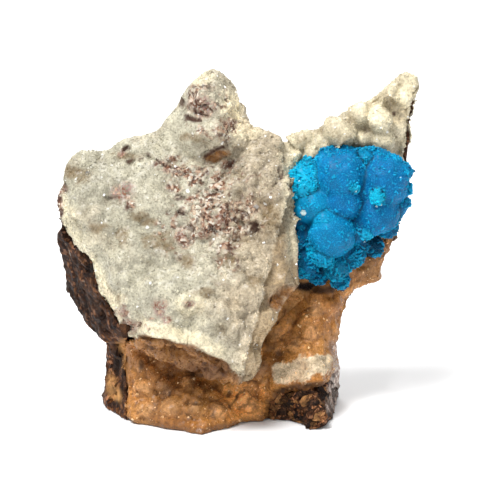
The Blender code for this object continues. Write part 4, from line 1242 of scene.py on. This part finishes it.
# ---------------------------------------------------------------- cavansite
# Each rosette is (dome, x, s, depth, radius, raggedness, light share, dark share). Rosettes of
# one dome run into each other without a crease. The light share is partly painted light on lit
# tops, and the dark share partly painted shade on low and tucked-in rosettes.
ROSETTES = [
    (0, 21, 47.7, -2, 5.4, 0.1, 0.05, 0), (0, 21.6, 42.6, -3.6, 3.9, 0.1, 0, 0),
    (1, 29.6, 46.4, -1.5, 5.3, 0.1, 0, 0), (1, 28.4, 40.2, -2.6, 4.6, 0.1, 0, 0.1),
    (0, 15.3, 41.9, -2.8, 4.2, 0.2, 0.25, 0), (3, 19, 35.9, -5, 4.9, 0.1, 0.12, 0),
    (4, 13.8, 45.6, -2, 3.6, 1, 0.75, 0), (4, 15.6, 48, -1.4, 2.2, 1, 0.7, 0),
    (4, 13, 48.8, -0.8, 1.8, 1, 0.7, 0), (4, 11.8, 44.6, -2.4, 2, 1, 0.8, 0),
    (5, 28.2, 43.7, -6.4, 1.7, 0.9, 0.9, 0), (6, 31.9, 41.5, 0, 2.7, 0.4, 0, 0.1),
    (7, 13.8, 30.2, -3, 2.9, 0.7, 0.1, 0.55), (8, 20.2, 29, -4, 2.8, 0.7, 0.35, 0.6),
    (8, 21, 26.5, -3, 2, 0.9, 0.1, 0.7), (9, 17.3, 31.4, -6, 2.3, 0.7, 0.35, 0),
    (10, 23.1, 31.4, -3, 2.7, 0.6, 0.1, 0.75), (11, 27.4, 33.5, 0, 2.3, 0.7, 0.05, 0.95),
    (12, 12.2, 35.4, -2.6, 2.4, 0.6, 0.05, 0.6), (1, 31, 50, -1, 2.5, 0.4, 0.1, 0),
    # smaller ones behind, between and round the edges
    (1, 25.4, 43.8, -2.4, 2.8, 0.3, 0, 0.3), (13, 25.4, 50.8, -0.6, 2.4, 0.7, 0.3, 0),
    (0, 17.8, 39.4, -2.6, 3, 0.3, 0.1, 0.2), (1, 24.4, 37, -2.6, 3, 0.4, 0, 0.3),
    (12, 12.4, 38.6, -1.8, 2.4, 0.6, 0.1, 0.55), (3, 16.2, 33.4, -3, 2.8, 0.6, 0.05, 0.3),
    (6, 30.6, 37.6, 0, 2.4, 0.6, 0, 0.6), (0, 17.4, 50.6, -0.6, 2, 0.6, 0.2, 0),
    (7, 12.6, 32.6, -1.8, 2.2, 0.7, 0, 0.5), (11, 24.4, 34, -1.6, 2.4, 0.6, 0, 0.85),
    (14, 16.6, 28, -2, 2.2, 0.8, 0, 0.95), (1, 29.2, 51.4, -0.6, 2, 0.5, 0.1, 0),
    (15, 11.9, 31, -2.8, 1.6, 0.9, 0.3, 0.1), (14, 13, 28.6, -2.6, 1.6, 0.8, 0.1, 0.3),
    (0, 18.6, 51.6, 0.6, 2.3, 0.6, 0.1, 0.1), (0, 21.6, 52, 0.5, 2.2, 0.5, 0.1, 0.1),
    (0, 24, 51.6, 0.6, 2, 0.6, 0.1, 0.1), (1, 27.2, 52.2, 0.4, 1.8, 0.6, 0.1, 0.1),
    (4, 14.8, 50.2, 0.2, 1.8, 0.9, 0.5, 0.1), (12, 11.2, 37.4, -1.6, 1.8, 0.7, 0.1, 0.3),
    (1, 33.4, 48.6, -0.6, 2.1, 0.6, 0.15, 0), (1, 33.7, 45.4, -0.6, 1.8, 0.7, 0.1, 0),
    (6, 33.2, 42.4, 0, 1.8, 0.7, 0.1, 0.1), (4, 11, 46, -2, 1.7, 1, 0.8, 0),
    (4, 11.6, 48, -1.4, 1.5, 1, 0.7, 0), (12, 10.9, 39.6, -1.8, 1.5, 0.9, 0.3, 0.1),
    (3, 17.6, 38.4, -6, 2.6, 0.2, 0.4, 0), (9, 15.6, 32.6, -5, 1.6, 0.9, 0.5, 0),
    (17, 26, 36, -5, 1.3, 0.9, 0.6, 0), (6, 31.6, 39.4, -1.2, 1.6, 0.9, 0.2, 0.1),
    (16, 23.4, 45.4, -6.5, 1, 0.9, 0.7, 0), (12, 11.6, 41, -2.2, 1.8, 0.8, 0.3, 0.1),
]
BLADE = np.array([
    (-0.6, -0.6, 0), (0.6, -0.6, 0), (0.6, 0.6, 0), (-0.6, 0.6, 0), (-1, -0.9, 0.8), (1, -0.9, 0.8),
    (1, 0.9, 0.8), (-1, 0.9, 0.8), (0.35, 0, 1),
])
BLADE_FACES = np.array([
    (0, 3, 2), (0, 2, 1), (0, 1, 5), (0, 5, 4), (1, 2, 6), (1, 6, 5), (2, 3, 7), (2, 7, 6),
    (3, 0, 4), (3, 4, 7), (4, 5, 8), (5, 6, 8), (6, 7, 8), (7, 4, 8),
])
BLADE_TIPS = np.array([0.0] * 4 + [0.85] * 4 + [1.0])  # 0 at a blade's foot, 1 at its tip
ROOT = 0.7  # how deep in the mass a blade starts
domes = np.array([rosette[0] for rosette in ROSETTES])
centres = np.array([to_row(*rosette[1:4]) for rosette in ROSETTES])
radii = np.array([rosette[4] for rosette in ROSETTES])
traits = np.array([rosette[5:] for rosette in ROSETTES])  # raggedness, light share, dark share


def joined_balls():
    """The rosettes' balls in one mesh, in millimetres."""
    shape = bmesh.new()
    for centre, radius in zip(centres, radii):
        made = bmesh.ops.create_icosphere(shape, subdivisions=3, radius=radius)
        bmesh.ops.translate(shape, verts=made["verts"], vec=centre)
    mesh = bpy.data.meshes.new("rosette_balls")
    shape.to_mesh(mesh)
    shape.free()
    return mesh


def rosette_traits(points):
    """Raggedness, light share and dark share at points of the mass, with painted shade in its
    creases.
    """
    reach = np.linalg.norm(points[:, None] - centres[None], axis=2) / radii[None]
    nearest = reach.min(axis=1)
    weight = np.exp(-10 * (reach - nearest[:, None]))
    blend = weight @ traits / weight.sum(axis=1)[:, None]
    own = domes[reach.argmin(axis=1)]
    ignored = (domes[None] == own[:, None]) | (radii[None] < 1.5)
    # Painted shade in the creases between domes.
    crease = 1 - step(np.where(ignored, FAR, reach).min(axis=1) - nearest, 0, 0.20)
    return blend[:, 0], blend[:, 1], np.maximum(blend[:, 2], 0.75 * crease)


mass = remeshed(joined_balls(), ROSETTE_VOXEL, 5)
swell = 0.30 * noise(mass.points, 3, 201) + 0.16 * noise(mass.points, 1.4, 203)
mass.move(swell + 0.08 * noise(mass.points, 0.7, 205) - 0.12)
_, mass_light, mass_deep = rosette_traits(mass.points)

places, normals, _ = scatter(mass, BLADE_SPACING)
ragged, light, deep = rosette_traits(places)
shown = normals[:, 1] < 0.75
for tree in (rock_tree, crust_tree):
    near, outward, _ = nearest_on(tree, places, 3)
    shown &= ((places - near) * outward).sum(axis=1) >= -0.15
places, normals, ragged, light, deep = (
    values[shown] for values in (places, normals, ragged, light, deep)
)
count = len(places)
tooth = (rng.random(count) < 0.05 + 0.5 * ragged) * step(noise(places, 1, 280), -0.5, 0.3)
spread = 0.18 + 0.35 * ragged + 0.2 * tooth
leaning = unit(normals + rng.normal(0, 1, (count, 3)) * spread[:, None])
width = rng.uniform(0.15, 0.27, count) * (1 + 0.5 * ragged + 0.5 * tooth)
proud = rng.uniform(0.04, 0.11, count) * (1 + ragged)
proud += tooth * rng.uniform(0.15, 0.6, count) * (0.4 + 0.9 * ragged)
scales = np.stack([width, width * rng.uniform(0.3, 0.6, count), ROOT + proud], axis=1)
spins = rng.uniform(0, 2 * math.pi, count)
points, faces = stamped(BLADE, BLADE_FACES, places - leaning * ROOT, leaning, spins, scales)
tips = np.tile(BLADE_TIPS, count)
light, deep, chance, bright = (np.repeat(values, len(BLADE)) for values in (
    np.clip(light + 0.35 * tooth * (1 - light), 0, 1), deep * (1 - 0.6 * tooth),
    rng.random(count), rng.random(count) < 0.0012,
))
blade_values = {
    "body": four(tips, light * step(tips, 0, 0.9), deep, chance), "glint": bright.astype(float),
}
none = np.zeros(len(mass.points))
mass_values = {
    "body": four(0.66 + none, 0.85 * mass_light, mass_deep, 0.5 + none), "glint": none,
}
CAVANSITE = (cavansite_material(), "cavansite_cluster", "cavansite")
add_piece("cavansite_blades", points, faces, False, blade_values, *CAVANSITE)
add_piece("cavansite_mass", mass.points, mass.faces, True, mass_values, *CAVANSITE)


# ---------------------------------------------------------------- single crystals
# Each is (x, s, width, length, lean to the side).
CLEAR = [(-30.6, 48, 1.1, 1, 0.3), (-6, 23.6, 0.5, 0.6, -0.4), (3.4, 12.4, 0.6, 0.6, 0.5)]
WHITE = [(13.3, 40.3, 1.3, 0.5, 0.2), (28.8, 41.9, 0.5, 0.9, 0.6), (28.2, 41.5, 0.4, 0.6, -0.5)]
SIDES = 6
TIP_SHARE = 0.45  # of the crystal's length


def prism():
    """A crystal with a pointed end, 1 across and 1 high above its foot."""
    around = np.arange(SIDES) * 2 * math.pi / SIDES
    ring = np.stack([np.cos(around), np.sin(around)], axis=1) * 0.5
    foot = np.column_stack([ring, np.full(SIDES, -0.5)])
    neck = np.column_stack([ring, np.full(SIDES, 1 - TIP_SHARE)])
    points = np.vstack([foot, neck, [(0, 0, -0.5), (0, 0, 1)]])
    faces = []
    for side in range(SIDES):
        after = (side + 1) % SIDES
        faces += [(side, after, SIDES + after), (side, SIDES + after, SIDES + side)]
        faces += [(after, side, 2 * SIDES), (SIDES + side, SIDES + after, 2 * SIDES + 1)]
    return points, np.array(faces)


def single_crystals(name, tree, spots, material, node, slot):
    """Crystals where these spots of the drawing view meet the surface."""
    places, directions = [], []
    for x, s, _, _, lean in spots:
        start = Vector(to_row(x, s, 0) + TO_VIEWER * 80)
        place, normal, _, _ = tree.ray_cast(start, Vector(-TO_VIEWER))
        places.append(place)
        directions.append(np.array(normal) + (lean, 0, 0.2))
    scales = np.array([(width, width, length) for _, _, width, length, _ in spots])
    spins = 0.5 * np.arange(len(spots))
    points, faces = stamped(*prism(), np.array(places), unit(np.array(directions)), spins, scales)
    add_piece(name, points, faces, False, {}, material, node, slot)


single_crystals(
    "clear_crystals", crust_tree, CLEAR, clear_material(), "pale_druse_plate", "pale_druse"
)
single_crystals(
    "white_grains", mass.tree(), WHITE, white_material(), "cavansite_cluster", "pale_druse"
)

# ---------------------------------------------------------------- stage
FLOOR_HALF = 8
FLOOR_DROP = 0.0002
scene = bpy.context.scene
floor_mesh = bpy.data.meshes.new("studio_floor")
floor_corners = [
    (x * FLOOR_HALF, y * FLOOR_HALF, 0) for x, y in ((-1, -1), (1, -1), (1, 1), (-1, 1))
]
floor_mesh.from_pydata(floor_corners, [], [(0, 1, 2, 3)])
floor_mesh.materials.append(floor_material())
floor = bpy.data.objects.new("studio_floor", floor_mesh)
floor.location.z = -FLOOR_DROP
scene.collection.objects.link(floor)

scene.view_settings.view_transform = "Standard"
world = bpy.data.worlds.new("studio")
world.use_nodes = True
background = world.node_tree.nodes["Background"]
background.inputs["Color"].default_value = (1, 1, 1, 1)
background.inputs["Strength"].default_value = 0.36
scene.world = world

LIGHTS = [  # name, place, side, watts, and what it is aimed at
    ("overhead_softbox", (-0.36, -0.48, 1.10), 0.42, 17, (0, 0, 0.03)),
    ("front_fill", (-0.7, -1.1, 0.35), 0.8, 1.6, (0, 0, 0.03)),
    ("floor_wash", (0, 1.3, 1.6), 1.2, 30, (0, 1.1, 0)),
    ("glint_left", (-0.5, -0.8, 0.9), 0.05, 1.2, (0, 0, 0.03)),
    ("glint_right", (0.55, -0.7, 0.8), 0.05, 1, (0, 0, 0.03)),
    ("glint_top", (0.1, -0.35, 1.3), 0.05, 1.2, (0, 0, 0.03)),
]


def aimed(name, data, place, aim):
    """An object at its place, looking at its aim."""
    made = bpy.data.objects.new(name, data)
    made.location = place
    made.rotation_euler = (Vector(aim) - Vector(place)).to_track_quat("-Z", "Y").to_euler()
    scene.collection.objects.link(made)
    return made


for name, place, side, watts, aim in LIGHTS:
    lamp = bpy.data.lights.new(name, "AREA")
    lamp.size = side
    lamp.energy = watts
    aimed(name, lamp, place, aim)

camera_data = bpy.data.cameras.new("camera")
camera_data.sensor_width = SENSOR_WIDTH
camera_data.lens = SENSOR_WIDTH * CAMERA_DISTANCE / (VIEW_SIDE * MM)
camera_data.clip_end = 50
target = Vector(to_row(*VIEW_CENTRE, 0) * MM)
eye = target + Vector(TO_VIEWER) * CAMERA_DISTANCE
scene.camera = aimed("camera", camera_data, eye, target)
